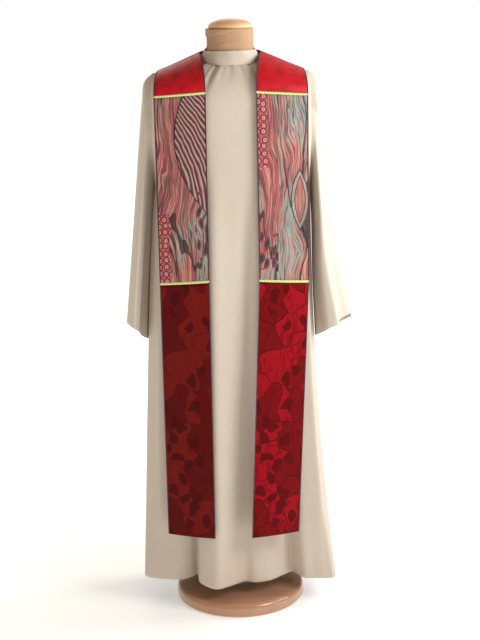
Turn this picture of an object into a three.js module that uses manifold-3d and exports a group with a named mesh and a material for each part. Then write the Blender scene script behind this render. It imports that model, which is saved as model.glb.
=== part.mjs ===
// A long alb with a band collar and bell sleeves, worn under a wide stole, on the adjustable
// display form that carries them. Millimetres, +Z up, the front faces -Y.
// The origin is the centre of the round base's underside.
import * as THREE from "three";
import { ParametricGeometry } from "three/addons/geometries/ParametricGeometry.js";
import { mergeVertices } from "three/addons/utils/BufferGeometryUtils.js";
import Module from "manifold-3d";

const wasm = await Module();
wasm.setup();

// ---- Driving dimensions ----------------------------------------------------------------

const GAP = 0.4; // clearance between pieces that touch
const SEAM_GAP = 0.3; // distance of each half from the plane between front and back
const CLOTH = 1.6; // wall of the alb's cloth
const CUT_OVER = 5; // how far a cutting tool stands beyond what it cuts

// Stand
const BASE_RADIUS = 181.5;
const BASE_HEIGHT = 40;
const BASE_ROUND = 13; // rounded top edge
const BASE_CROWN = 4; // rise of the top towards the middle
const BASE_FOOT = 3; // bevel round the underside
const BASE_SEAT = 20; // flat ring round the flange
const FLANGE_RADIUS = 55;
const FLANGE_THICK = 6;
const FLANGE_SLEEVE_HEIGHT = 36;
const FLANGE_SLEEVE_WALL = 5;
const SCREW_COUNT = 4;
const SCREW_CIRCLE = 42;
const SCREW_RADIUS = 2.5;
const SCREW_HEAD_RADIUS = 6;
const SCREW_HEAD_HEIGHT = 3;
const SCREW_LENGTH = 24;
const SCREW_POINT = 3;
const MAST_RADIUS = 14; // inner pole, which slides in the outer one
const MAST_WALL = 2;
const MAST_FOOT = 300;
const BUSH_WALL = 2.2; // sleeve that guides the inner pole
const BUSH_HEIGHT = 60;
const POLE_WALL = 2;
const POLE_RADIUS = MAST_RADIUS + GAP + BUSH_WALL + GAP + POLE_WALL; // outer pole
const POLE_TOP = 700;
const CLAMP_HEIGHT = 36;
const CLAMP_WALL = 9;
const KNOB_RADIUS = 22;
const KNOB_THICK = 16;
const KNOB_STEM_RADIUS = 4;
const KNOB_EDGE = 3; // bevel round the knob
const KNOB_REACH = 22; // from the clamp's face to the knob's inner face
const SOCKET_WALL = 7; // cup that turns on the top of the inner pole
const SOCKET_DEPTH = 76;
const SOCKET_CROWN = 8;
const SOCKET_SKIRT = 40; // part of the cup below the board
const SOCKET_FLANGE = { width: 28, thick: 5 };
const RING_HEIGHT = 16; // stop ring under the cup

// Torso of the form
const TORSO_WALL = 4;
const TORSO_BOTTOM = 800;
const BOARD_THICK = 12;
const CHEST_LEVEL = 1400; // where the shoulder cap ends and the trunk begins
const WAIST_LEVEL = 1090;
const HIP_LEVEL = 880;
const TORSO_WAIST = { half: 135, front: 84, back: 78 };
const TORSO_HIP = { half: 168, front: 96, back: 100 };
const NECK_RADIUS = 60;
const NECK_FOOT = 1450;
const NECK_TOP = 1595;
const COVER_WALL = 1.4; // linen cover round the neck
const CAP_RADIUS = 57;
const CAP_RIM = 7;
const CAP_EDGE = 1.5; // bevel under the rim
const CAP_DOME = 18;
const DOWEL_RADIUS = 8;
const DOWEL_LENGTH = 40;

// Alb
const COLLAR_HALF = 76; // neck opening, half-width and half-depth
const COLLAR_DEPTH = 72;
const NECKLINE = { front: 1503, side: 1515, back: 1522 };
const COLLAR_HEIGHT = { front: 36, side: 32, back: 38 };
const SHOULDER_SLOPE = 0.26;
const SEAM_HALF = 208; // half-width between the armhole seams
const TORSO_TIP = SEAM_HALF - 10; // half-width of the form over its shoulder tips
const TORSO_CHEST = { half: SEAM_HALF - 36, front: 98, back: 96 };
const UNDERARM = 1180;
const ARMHOLE_DEPTH = 70;
const ALB_CHEST = { half: SEAM_HALF, front: 112, back: 108 };
const ALB_HEM = { half: 270, front: 150, back: 152 };
const HEM_LEVEL = 76;
const SECTION_POWER = 2.4; // squareness of the horizontal sections
const SLEEVE_TIP = { x: 310, z: 807 }; // outer end of the sleeve's hem
const SLEEVE_UNDER = { x: 246, z: 764 }; // inner end of the sleeve's hem
const CUFF_HALF = 128; // half of the cuff's width, front to back
const SHOULDER_ROUND = { out: 22, down: 26 }; // where the sleeve bends over the shoulder
const OVERARM_START = { out: 30, down: 80 }; // where its outer line starts to hang straight
const UNDERARM_START = { out: 9, down: 80 };
const PLACKET_HALF = 13;
const PLACKET_LENGTH = 250;
const PLACKET_ABOVE = 120; // part of it above the chest level
const PLACKET_THICK = 1.4;
const BUTTON_COUNT = 3;
const BUTTON_RADIUS = 6.5;
const BUTTON_THICK = 2.4;

// Stole
const LINING = 0.7;
const FACE = 1.4;
const LAYER_GAP = 0.6; // between the lining and the face
const PIPING = 2.6; // thickness of a piping where it stands proud
const PIPING_WIDTH = 6.5;
const YOKE_LENGTH = 150; // from the shoulder line to the upper piping
const STOLE_LIFT = 20; // how far the inner edge stands above the shoulder beside the collar
const STOLE_INNER = { ridge: COLLAR_HALF + 3, upper: 65, lower: 66, end: 65 };
const RIDGE_OUTER = SEAM_HALF - 16; // outer edge of the stole on the shoulder line
const STOLE_OUTER = {
  ridge: RIDGE_OUTER,
  upper: RIDGE_OUTER + 7,
  lower: RIDGE_OUTER + 5,
  end: RIDGE_OUTER + 2,
};
const UPPER_PIPING = 1438; // heights at the inner edge
const LOWER_PIPING = 947;
const STOLE_END = 233;
const PIPING_DROP = 10; // how much lower the pipings are at the outer edge
const STOLE_FRONT = { upper: 118, lower: 138, end: 170 }; // distance of the inner edge before the axis
const STOLE_TURN = { upper: 26 / 134, lower: 26 / 131, end: 42 / 129 }; // slant of its width
const TAIL_DRIFT = { left: 0, right: 30 }; // how far each tail's end hangs towards the middle
const NAPE_REACH = 0.31; // how far down the alb's back the stole hangs, as a share of the back
const NAPE_CLEAR = 8; // room under it for the placket and its buttons

// ---- Materials -------------------------------------------------------------------------

const LOOKS = {
  beech: { color: 0xb9865f, roughness: 0.4, metalness: 0 },
  steel: { color: 0xb8babd, roughness: 0.35, metalness: 0.9 },
  black_plastic: { color: 0x202124, roughness: 0.5, metalness: 0 },
  shell: { color: 0xcabfa8, roughness: 0.9, metalness: 0 },
  board: { color: 0xc9a878, roughness: 0.7, metalness: 0 },
  linen: { color: 0xbfa27f, roughness: 0.95, metalness: 0 },
  alb_cloth: { color: 0xe6dccb, roughness: 0.9, metalness: 0 },
  button: { color: 0xe9e2d2, roughness: 0.3, metalness: 0 },
  satin: { color: 0xb01820, roughness: 0.5, metalness: 0 },
  print: { color: 0xb98a86, roughness: 0.7, metalness: 0 },
  damask: { color: 0xa5141f, roughness: 0.6, metalness: 0 },
  piping: { color: 0xc8d65a, roughness: 0.6, metalness: 0 },
  lining: { color: 0x5c0d14, roughness: 0.7, metalness: 0 },
};

const group = new THREE.Group();

function add(name, look, geometry, parent = group) {
  const mesh = new THREE.Mesh(geometry, new THREE.MeshStandardMaterial(LOOKS[look]));
  mesh.name = name;
  parent.add(mesh);
  return mesh;
}

// ---- Closed solids ---------------------------------------------------------------------

// Merges a geometry's shared vertices, drops its empty triangles and turns its faces outwards.
function closed(geometry) {
  geometry.deleteAttribute("normal");
  geometry.deleteAttribute("uv");
  const merged = mergeVertices(geometry, 1e-3);
  const place = merged.getAttribute("position");
  const corner = [new THREE.Vector3(), new THREE.Vector3(), new THREE.Vector3()];
  const triangles = [];
  let volume = 0;
  for (let i = 0; i < merged.index.count; i += 3) {
    const [a, b, c] = [0, 1, 2].map((k) => merged.index.getX(i + k));
    if (a === b || b === c || c === a) continue;
    triangles.push([a, b, c]);
    [a, b, c].forEach((vertex, k) => corner[k].fromBufferAttribute(place, vertex));
    volume += corner[0].dot(corner[1].cross(corner[2]));
  }
  merged.setIndex(triangles.flatMap(([a, b, c]) => (volume < 0 ? [a, c, b] : [a, b, c])));
  merged.computeVertexNormals();
  return merged;
}

function toManifold(geometry) {
  return new wasm.Manifold(
    new wasm.Mesh({
      numProp: 3,
      vertProperties: new Float32Array(geometry.getAttribute("position").array),
      triVerts: new Uint32Array(geometry.index.array),
    }),
  );
}

function cut(body, tools) {
  let result = toManifold(body);
  for (const tool of tools) result = result.subtract(toManifold(tool));
  const mesh = result.getMesh();
  const geometry = new THREE.BufferGeometry();
  geometry.setAttribute("position", new THREE.BufferAttribute(mesh.vertProperties, 3));
  geometry.setIndex(new THREE.BufferAttribute(mesh.triVerts, 1));
  geometry.computeVertexNormals();
  return geometry;
}

// A solid of revolution about Z from [radius, height] points.
function turned(points, segments = 24) {
  const profile = points.map(([radius, height]) => new THREE.Vector2(radius, height));
  return closed(new THREE.LatheGeometry(profile, segments).rotateX(Math.PI / 2));
}

function tube(inner, outer, low, high, segments = 24) {
  return turned([[inner, low], [outer, low], [outer, high], [inner, high], [inner, low]], segments);
}

function rod(radius, low, high, segments = 20) {
  return turned([[0, low], [radius, low], [radius, high], [0, high]], segments);
}

// Places from 0 to 1 for a sheet's rows: some in each stretch between knots. The first and
// last steps are short, so a hem stays thin.
function rowsThrough(knots, counts) {
  const edge = 0.004;
  const rows = [0, edge];
  counts.forEach((count, k) => {
    for (let i = 1; i <= count; i += 1) rows.push(knots[k] + ((knots[k + 1] - knots[k]) * i) / count);
  });
  rows.splice(rows.length - 1, 0, 1 - edge);
  return rows;
}

// Gives the point at a distance along a surface's normal, as sheet() wants it.
function alongNormal(surface) {
  const step = 1e-3;
  return (s, t, distance) => {
    const along = surface(Math.min(s + step, 1), t).sub(surface(Math.max(s - step, 0), t));
    const across = surface(s, Math.min(t + step, 1)).sub(surface(s, Math.max(t - step, 0)));
    return surface(s, t).addScaledVector(along.cross(across).normalize(), distance);
  };
}

// A thin open sheet, at(s, t, distance) between two distances. The faces run out and back across
// it, and the first and last rows close onto the sheet's middle. keep(point) holds each point on
// the sheet's own side of a seam.
function sheet(at, rows, cols, low, high, keep = (point) => point) {
  const around = 2 * cols + 2;
  const last = rows.length - 1;
  const shape = (u, v, target) => {
    const k = Math.round(u * around) % around;
    const isOuter = k <= cols;
    const t = isOuter ? k / cols : (around - 1 - k) / cols;
    const row = Math.round(v * last);
    const isEnd = row === 0 || row === last;
    target.copy(keep(at(rows[row], t, isEnd ? (low + high) / 2 : isOuter ? high : low)));
  };
  return closed(new ParametricGeometry(shape, around, last));
}

const keepFront = (point) => point.setY(Math.min(point.y, -SEAM_GAP));
const keepBack = (point) => point.setY(Math.max(point.y, SEAM_GAP));
const keepBackLeft = (point) => keepBack(point).setX(Math.min(point.x, -SEAM_GAP));
const keepBackRight = (point) => keepBack(point).setX(Math.max(point.x, SEAM_GAP));

// A wall that closes on itself round a hollow, with flat rims. at(s, turn, distance) gives a
// point, where turn runs once round from 0 to 1.
function hoop(at, rows, segments, low, high) {
  const around = 2 * rows + 2;
  const shape = (u, v, target) => {
    const k = Math.round(v * around) % around;
    const isOuter = k <= rows;
    const s = isOuter ? k / rows : (around - 1 - k) / rows;
    const turn = (Math.round(u * segments) % segments) / segments;
    target.copy(at(s, turn, isOuter ? high : low));
  };
  return closed(new ParametricGeometry(shape, segments, around));
}

const mix = THREE.MathUtils.lerp;

function bezier(start, control, end, t) {
  return new THREE.QuadraticBezierCurve3(start, control, end).getPoint(t);
}

// ---- Stand -----------------------------------------------------------------------------

function baseProfile() {
  const points = [[0, 0], [BASE_RADIUS - BASE_FOOT, 0], [BASE_RADIUS, BASE_FOOT]];
  const steps = 5;
  for (let k = 0; k <= steps; k += 1) {
    const angle = (k / steps) * (Math.PI / 2);
    const radius = BASE_RADIUS - BASE_ROUND + BASE_ROUND * Math.cos(angle);
    points.push([radius, BASE_HEIGHT - BASE_CROWN - BASE_ROUND + BASE_ROUND * Math.sin(angle)]);
  }
  points.push([FLANGE_RADIUS + BASE_SEAT, BASE_HEIGHT], [0, BASE_HEIGHT]);
  return points;
}

function screwPlaces() {
  return Array.from({ length: SCREW_COUNT }, (_, k) => {
    const angle = ((k + 0.5) / SCREW_COUNT) * 2 * Math.PI;
    return [SCREW_CIRCLE * Math.cos(angle), SCREW_CIRCLE * Math.sin(angle)];
  });
}

const flangeBottom = BASE_HEIGHT + GAP;
const flangeTop = flangeBottom + FLANGE_THICK;
const screwHeadBottom = flangeTop + GAP;
const screwTip = screwHeadBottom - SCREW_LENGTH;

function addBase() {
  const holes = screwPlaces().map(([x, y]) =>
    rod(SCREW_RADIUS + GAP, screwTip - GAP, flangeTop + CUT_OVER, 12).translate(x, y, 0),
  );
  add("base_disc", "beech", cut(turned(baseProfile(), 48), holes));

  const sleeveInner = POLE_RADIUS + GAP;
  const sleeveOuter = sleeveInner + FLANGE_SLEEVE_WALL;
  const flange = turned([
    [0, flangeBottom],
    [FLANGE_RADIUS, flangeBottom],
    [FLANGE_RADIUS, flangeTop],
    [sleeveOuter, flangeTop],
    [sleeveOuter, flangeTop + FLANGE_SLEEVE_HEIGHT],
    [sleeveInner, flangeTop + FLANGE_SLEEVE_HEIGHT],
    [sleeveInner, flangeTop],
    [0, flangeTop],
  ]);
  add("pole_flange", "steel", cut(flange, holes));

  screwPlaces().forEach(([x, y], k) => {
    const screw = turned(
      [
        [0, screwTip],
        [SCREW_RADIUS, screwTip + SCREW_POINT],
        [SCREW_RADIUS, screwHeadBottom],
        [SCREW_HEAD_RADIUS, screwHeadBottom],
        [SCREW_HEAD_RADIUS * 0.8, screwHeadBottom + SCREW_HEAD_HEIGHT],
        [0, screwHeadBottom + SCREW_HEAD_HEIGHT],
      ],
      12,
    );
    add(`flange_screw_${k + 1}`, "steel", screw).position.set(x, y, 0);
  });
}

const clampTop = POLE_TOP;
const clampMiddle = clampTop - CLAMP_HEIGHT / 2;
const clampRadius = POLE_RADIUS + GAP + CLAMP_WALL;

// A round piece that points along +X at the clamp's height.
function alongX(geometry) {
  return geometry.rotateY(Math.PI / 2).translate(0, 0, clampMiddle);
}

function addPole() {
  const stemHole = alongX(rod(KNOB_STEM_RADIUS + GAP, 0, clampRadius + CUT_OVER, 16));
  const pole = tube(POLE_RADIUS - POLE_WALL, POLE_RADIUS, flangeTop + GAP, POLE_TOP);
  add("outer_pole", "steel", cut(pole, [stemHole]));

  const bushOuter = POLE_RADIUS - POLE_WALL - GAP;
  const bush = tube(MAST_RADIUS + GAP, bushOuter, POLE_TOP - BUSH_HEIGHT, POLE_TOP);
  add("guide_bush", "black_plastic", cut(bush, [stemHole]));

  const clamp = tube(POLE_RADIUS + GAP, clampRadius, clampTop - CLAMP_HEIGHT, clampTop);
  add("clamp_collar", "steel", cut(clamp, [stemHole]));

  const knobFace = clampRadius + KNOB_REACH;
  const knob = turned(
    [
      [0, MAST_RADIUS + GAP],
      [KNOB_STEM_RADIUS, MAST_RADIUS + GAP],
      [KNOB_STEM_RADIUS, knobFace],
      [KNOB_RADIUS * 0.7, knobFace],
      [KNOB_RADIUS, knobFace + KNOB_EDGE],
      [KNOB_RADIUS, knobFace + KNOB_THICK - KNOB_EDGE],
      [KNOB_RADIUS * 0.8, knobFace + KNOB_THICK],
      [0, knobFace + KNOB_THICK],
    ],
    16,
  );
  add("clamp_knob", "black_plastic", alongX(knob));
}

const boardTop = TORSO_BOTTOM - GAP;
const boardBottom = boardTop - BOARD_THICK;
const socketRadius = MAST_RADIUS + GAP + SOCKET_WALL;
const socketFlangeTop = boardBottom - GAP;
const cupFoot = socketFlangeTop - SOCKET_SKIRT;
const mastTop = cupFoot + SOCKET_DEPTH;

function addMast() {
  add("inner_pole", "steel", tube(MAST_RADIUS - MAST_WALL, MAST_RADIUS, MAST_FOOT, mastTop));
  const ringTop = cupFoot - GAP;
  const ring = tube(MAST_RADIUS + GAP, socketRadius, ringTop - RING_HEIGHT, ringTop);
  add("mast_ring", "steel", ring);
}

// ---- Trunk surfaces, shared by the torso and the alb -------------------------------------

// Height of the shoulder line at a distance from the middle.
function shoulderHeight(x) {
  return NECKLINE.side - SHOULDER_SLOPE * (Math.abs(x) - COLLAR_HALF);
}

// A point of the neckline. turn is 0 at the front, a quarter at +X, a half at the back.
function necklinePoint(turn, halfWidth, halfDepth) {
  const angle = turn * 2 * Math.PI;
  const far = Math.cos(angle) > 0 ? NECKLINE.front : NECKLINE.back;
  const height = mix(far, NECKLINE.side, Math.pow(Math.abs(Math.sin(angle)), 4));
  return new THREE.Vector3(halfWidth * Math.sin(angle), -halfDepth * Math.cos(angle), height);
}

// The top line of a trunk panel: shoulder, round the neck, shoulder. q runs from -1 to 1, and
// facing is -1 for the front and 1 for the back.
function topLine(q, facing, trunk) {
  const neckShare = 0.5;
  const size = Math.abs(q);
  const sign = Math.sign(q) || 1;
  let point;
  if (size < neckShare) {
    const quarter = (size / neckShare) * 0.25;
    const turn = facing < 0 ? quarter : 0.5 - quarter;
    point = necklinePoint(turn, trunk.neckHalf, trunk.neckDepth);
  } else {
    const x = mix(trunk.neckHalf, trunk.tip, (size - neckShare) / (1 - neckShare));
    point = new THREE.Vector3(x, 0, shoulderHeight(x));
  }
  point.x *= sign;
  point.z -= trunk.sunk;
  point.y += facing * SEAM_GAP;
  return point;
}

// A point of the horizontal section at a height, on the front or back half.
function sectionPoint(q, facing, trunk, height) {
  const { half, front, back, side } = trunk.section(height);
  const depth = facing < 0 ? front : back;
  const angle = (q * Math.PI) / 2;
  const power = 2 / SECTION_POWER;
  const x = half * Math.sign(q) * Math.pow(Math.abs(Math.sin(angle)), power);
  const y = side + (depth - side) * Math.pow(Math.max(0, Math.cos(angle)), power);
  return new THREE.Vector3(x, facing * (y + SEAM_GAP), height);
}

// Shares of a trunk's s where its shoulder cap and its armhole or chest end.
const capShare = 0.3;
const chestShare = 0.45;

// The trunk's surface: a rounded shoulder cap above the chest, sections below it.
function trunkPoint(s, q, facing, trunk) {
  if (s >= chestShare) {
    const fall = (s - chestShare) / (1 - chestShare);
    return sectionPoint(q, facing, trunk, mix(UNDERARM, trunk.bottom, fall));
  }
  if (s >= capShare) {
    const fall = (s - capShare) / (chestShare - capShare);
    return sectionPoint(q, facing, trunk, mix(CHEST_LEVEL, UNDERARM, fall));
  }
  const start = topLine(q, facing, trunk);
  const end = sectionPoint(q, facing, trunk, CHEST_LEVEL);
  const control = end.clone();
  control.z = mix(start.z, CHEST_LEVEL, 0.3);
  return bezier(start, control, end, s / capShare);
}

const trunkKnots = [0, capShare, chestShare, 1];

// Section of the alb, which runs straight out from the chest to the hem. Above the underarm its
// side edges stand apart by the armhole.
const albTrunk = {
  neckHalf: COLLAR_HALF,
  neckDepth: COLLAR_DEPTH,
  tip: SEAM_HALF,
  sunk: 0,
  bottom: HEM_LEVEL,
  section(height) {
    const fall = (CHEST_LEVEL - height) / (CHEST_LEVEL - HEM_LEVEL);
    const spread = Math.max(0, (UNDERARM - height) / (UNDERARM - HEM_LEVEL));
    const open = (height - UNDERARM) / (shoulderHeight(SEAM_HALF) - UNDERARM);
    return {
      half: mix(ALB_CHEST.half, ALB_HEM.half, spread),
      front: mix(ALB_CHEST.front, ALB_HEM.front, fall),
      back: mix(ALB_CHEST.back, ALB_HEM.back, fall),
      side: open > 0 ? ARMHOLE_DEPTH * Math.sin(Math.PI * open) : 0,
    };
  },
};

// Section of the torso: chest, waist and hip joined by soft curves.
const torsoTrunk = {
  neckHalf: NECK_RADIUS - SEAM_GAP + TORSO_WALL / 2,
  neckDepth: NECK_RADIUS - SEAM_GAP + TORSO_WALL / 2,
  tip: TORSO_TIP,
  sunk: CLOTH / 2 + TORSO_WALL / 2 + GAP + 0.2,
  bottom: TORSO_BOTTOM,
  section(height) {
    const above = height > WAIST_LEVEL;
    const high = above ? TORSO_CHEST : TORSO_WAIST;
    const low = above ? TORSO_WAIST : TORSO_HIP;
    const start = above ? CHEST_LEVEL : WAIST_LEVEL;
    const end = above ? WAIST_LEVEL : HIP_LEVEL;
    const fall = THREE.MathUtils.smoothstep(start - height, 0, start - end);
    return {
      half: mix(high.half, low.half, fall),
      front: mix(high.front, low.front, fall),
      back: mix(high.back, low.back, fall),
      side: 0,
    };
  },
};

// A panel of a trunk from one q to another, as a surface for sheet().
function trunkSurface(trunk, facing, from, to) {
  return (s, t) => trunkPoint(s, mix(from, to, facing < 0 ? t : 1 - t), facing, trunk);
}

// Where across a panel's row a distance x from the middle lies, near the middle.
function acrossAt(surface, s, x) {
  let low = 0.25;
  let high = 0.75;
  const rises = surface(s, high).x > surface(s, low).x;
  for (let k = 0; k < 24; k += 1) {
    const middle = (low + high) / 2;
    if (surface(s, middle).x < x === rises) low = middle;
    else high = middle;
  }
  return (low + high) / 2;
}

// ---- Torso of the form -------------------------------------------------------------------

function addTorso() {
  const halfWall = TORSO_WALL / 2;
  const rows = rowsThrough(trunkKnots, [4, 2, 6]);
  const front = alongNormal(trunkSurface(torsoTrunk, -1, -1, 1));
  const back = alongNormal(trunkSurface(torsoTrunk, 1, -1, 1));
  add("torso_front", "shell", sheet(front, rows, 16, -halfWall, halfWall, keepFront));
  add("torso_back", "shell", sheet(back, rows, 16, -halfWall, halfWall, keepBack));

  const outline = [];
  [-1, 1].forEach((facing) => {
    for (let k = 0; k < 16; k += 1) {
      const point = sectionPoint(facing * (1 - k / 8), facing, torsoTrunk, TORSO_BOTTOM);
      outline.push(new THREE.Vector2(point.x, point.y));
    }
  });
  const shape = new THREE.Shape(outline);
  const hole = new THREE.Path().absarc(0, 0, socketRadius + GAP, 0, 2 * Math.PI, true);
  shape.holes.push(hole);
  const board = new THREE.ExtrudeGeometry(shape, {
    depth: BOARD_THICK,
    bevelEnabled: false,
    curveSegments: 24,
  });
  add("torso_bottom_board", "board", closed(board)).position.z = boardBottom;

  // The cup closes over the top of the inner pole and hangs the board on its flange.
  const cupInner = MAST_RADIUS + GAP;
  const cupTop = mastTop + GAP + SOCKET_CROWN;
  const flangeRadius = socketRadius + SOCKET_FLANGE.width;
  const flangeFoot = socketFlangeTop - SOCKET_FLANGE.thick;
  const cup = turned([
    [0, cupTop],
    [0, mastTop + GAP],
    [cupInner, mastTop + GAP],
    [cupInner, cupFoot],
    [socketRadius, cupFoot],
    [socketRadius, flangeFoot],
    [flangeRadius, flangeFoot],
    [flangeRadius, socketFlangeTop],
    [socketRadius, socketFlangeTop],
    [socketRadius, cupTop],
    [0, cupTop],
  ]);
  add("mast_socket", "steel", cup);

  const block = rod(NECK_RADIUS, NECK_FOOT, NECK_TOP, 32);
  const dowelHole = rod(DOWEL_RADIUS + GAP, NECK_TOP - DOWEL_LENGTH - GAP, NECK_TOP + CUT_OVER, 16);
  add("neck_block", "board", cut(block, [dowelHole]));
  const coverInner = NECK_RADIUS + GAP;
  const coverFoot = NECKLINE.back + 2;
  add("neck_cover", "linen", tube(coverInner, coverInner + COVER_WALL, coverFoot, NECK_TOP, 32));

  const capFoot = NECK_TOP + GAP;
  const capProfile = [
    [0, capFoot - DOWEL_LENGTH],
    [DOWEL_RADIUS, capFoot - DOWEL_LENGTH],
    [DOWEL_RADIUS, capFoot],
    [CAP_RADIUS - CAP_EDGE, capFoot],
    [CAP_RADIUS, capFoot + CAP_EDGE],
    [CAP_RADIUS, capFoot + CAP_RIM],
  ];
  const steps = 7;
  for (let k = 1; k <= steps; k += 1) {
    const angle = (k / steps) * (Math.PI / 2);
    capProfile.push([CAP_RADIUS * Math.cos(angle), capFoot + CAP_RIM + CAP_DOME * Math.sin(angle)]);
  }
  add("neck_cap", "beech", turned(capProfile, 32));
}

// ---- Alb ---------------------------------------------------------------------------------

function addCollar() {
  const at = (s, turn, distance) => {
    const foot = necklinePoint(turn, COLLAR_HALF + distance, COLLAR_DEPTH + distance);
    const angle = turn * 2 * Math.PI;
    const far = Math.cos(angle) > 0 ? COLLAR_HEIGHT.front : COLLAR_HEIGHT.back;
    const height = mix(far, COLLAR_HEIGHT.side, Math.pow(Math.abs(Math.sin(angle)), 4));
    foot.z += s * height + GAP;
    return foot;
  };
  add("alb_collar", "alb_cloth", hoop(at, 1, 48, -CLOTH - GAP, -GAP));
}

// Overarm and underarm lines of the +X sleeve, from the armhole to the cuff.
const armholeX = SEAM_HALF + CLOTH / 2 + GAP;
const shoulderTip = shoulderHeight(SEAM_HALF);
const hangX = armholeX + OVERARM_START.out;
const overarm = new THREE.CatmullRomCurve3([
  new THREE.Vector3(armholeX, 0, shoulderTip),
  new THREE.Vector3(armholeX + SHOULDER_ROUND.out, 0, shoulderTip - SHOULDER_ROUND.down),
  new THREE.Vector3(hangX, 0, shoulderTip - OVERARM_START.down),
  new THREE.Vector3(mix(hangX, SLEEVE_TIP.x, 0.45), 0, mix(CHEST_LEVEL, SLEEVE_TIP.z, 0.6)),
  new THREE.Vector3(SLEEVE_TIP.x, 0, SLEEVE_TIP.z),
]);
const underarm = new THREE.CatmullRomCurve3([
  new THREE.Vector3(armholeX, 0, UNDERARM),
  new THREE.Vector3(armholeX + UNDERARM_START.out, 0, UNDERARM - UNDERARM_START.down),
  new THREE.Vector3(mix(armholeX, SLEEVE_UNDER.x, 0.6), 0, mix(UNDERARM, SLEEVE_UNDER.z, 0.6)),
  new THREE.Vector3(SLEEVE_UNDER.x, 0, SLEEVE_UNDER.z),
]);

function addSleeve(name, sign) {
  const at = (s, turn, distance) => {
    const outer = overarm.getPointAt(s);
    const inner = underarm.getPointAt(s);
    const centre = outer.clone().add(inner).multiplyScalar(0.5);
    const reach = outer.clone().sub(inner).multiplyScalar(0.5);
    const size = reach.length();
    const angle = turn * 2 * Math.PI;
    const depth = mix(ARMHOLE_DEPTH, CUFF_HALF, Math.pow(s, 0.8)) + distance;
    const point = centre.addScaledVector(reach, (Math.cos(angle) * (size + distance)) / size);
    point.y += depth * Math.sin(angle);
    point.x *= sign;
    return point;
  };
  add(name, "alb_cloth", hoop(at, 8, 20, -CLOTH / 2, CLOTH / 2));
}

const albFront = trunkSurface(albTrunk, -1, -1, 1);
const albBack = trunkSurface(albTrunk, 1, -1, 1);

function addAlb() {
  const half = CLOTH / 2;
  const rows = rowsThrough(trunkKnots, [5, 2, 5]);
  const front = alongNormal(albFront);
  const backLeft = alongNormal(trunkSurface(albTrunk, 1, -1, 0));
  const backRight = alongNormal(trunkSurface(albTrunk, 1, 0, 1));
  add("alb_front", "alb_cloth", sheet(front, rows, 24, -half, half, keepFront));
  add("alb_back_left", "alb_cloth", sheet(backLeft, rows, 12, -half, half, keepBackLeft));
  add("alb_back_right", "alb_cloth", sheet(backRight, rows, 12, -half, half, keepBackRight));
  addCollar();
  addSleeve("alb_sleeve_left", -1);
  addSleeve("alb_sleeve_right", 1);
  addPlacket();
}

// The placket lies over the slit at the centre back, with its buttons in a row on it.
function addPlacket() {
  const topShare = 0.02;
  const chestPart = (PLACKET_LENGTH - PLACKET_ABOVE) / (CHEST_LEVEL - UNDERARM);
  const endShare = mix(capShare, chestShare, chestPart);
  const placket = alongNormal((s, t) => {
    const along = mix(topShare, endShare, s);
    return albBack(along, acrossAt(albBack, along, mix(PLACKET_HALF, -PLACKET_HALF, t)));
  });
  const low = CLOTH / 2 + GAP;
  const high = low + PLACKET_THICK;
  const knot = (capShare - topShare) / (endShare - topShare);
  add("back_placket", "alb_cloth", sheet(placket, rowsThrough([0, knot, 1], [8, 2]), 4, low, high));
  for (let k = 0; k < BUTTON_COUNT; k += 1) {
    const share = (k + 0.5) / BUTTON_COUNT;
    const foot = placket(share, 0.5, high + GAP);
    const axis = placket(share, 0.5, high + GAP + 1).sub(foot).normalize();
    const button = add(`back_button_${k + 1}`, "button", rod(BUTTON_RADIUS, 0, BUTTON_THICK, 16));
    button.position.copy(foot);
    button.quaternion.setFromUnitVectors(new THREE.Vector3(0, 0, 1), axis);
  }
}

// ---- Stole -------------------------------------------------------------------------------

const stoleThick = LINING + LAYER_GAP + FACE;
const stoleFoot = CLOTH / 2 + GAP; // above the alb's middle surface
const ridgeOuterHeight = shoulderHeight(STOLE_OUTER.ridge) + stoleFoot;
const ridgeInnerHeight = shoulderHeight(STOLE_INNER.ridge) + STOLE_LIFT - stoleThick;

// The four corners down each edge of one strip, as points on its under surface.
function stripStations(side) {
  const sign = side === "left" ? -1 : 1;
  const station = (place, height, drop, drift) => {
    const ahead = STOLE_FRONT[place];
    const inner = sign * (STOLE_INNER[place] - drift);
    const outer = sign * (STOLE_OUTER[place] - drift);
    const turn = STOLE_TURN[place] * (STOLE_OUTER[place] - STOLE_INNER[place]);
    return {
      inner: new THREE.Vector3(inner, -ahead, height),
      outer: new THREE.Vector3(outer, -ahead + turn, height - drop),
    };
  };
  return {
    ridge: {
      inner: new THREE.Vector3(sign * STOLE_INNER.ridge, 0, ridgeInnerHeight),
      outer: new THREE.Vector3(sign * STOLE_OUTER.ridge, 0, ridgeOuterHeight),
    },
    upper: station("upper", UPPER_PIPING, PIPING_DROP, 0),
    lower: station("lower", LOWER_PIPING, PIPING_DROP, 0),
    end: station("end", STOLE_END, 0, TAIL_DRIFT[side]),
  };
}

// One strip from the shoulder line to its end as a surface. s is 0 at the shoulder, 1 at the
// upper piping, 2 at the lower piping and 3 at the end.
function stripSurface(side) {
  const { ridge, upper, lower, end } = stripStations(side);
  const overShoulder = (from, to, t) => {
    const control = to.clone();
    control.z = mix(to.z, from.z, 0.78);
    return bezier(from, control, to, t);
  };
  const edge = (which, s) => {
    if (s <= 1) return overShoulder(ridge[which], upper[which], s);
    if (s <= 2) return upper[which].clone().lerp(lower[which], s - 1);
    return lower[which].clone().lerp(end[which], s - 2);
  };
  return (s, t) => edge("inner", s).lerp(edge("outer", s), t);
}

// The piece of a strip between two places down its length.
function stripPiece(side, from, to) {
  const surface = stripSurface(side);
  const across = side === "left" ? (t) => 1 - t : (t) => t;
  return (s, t) => surface(mix(from, to, s), across(t));
}

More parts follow.
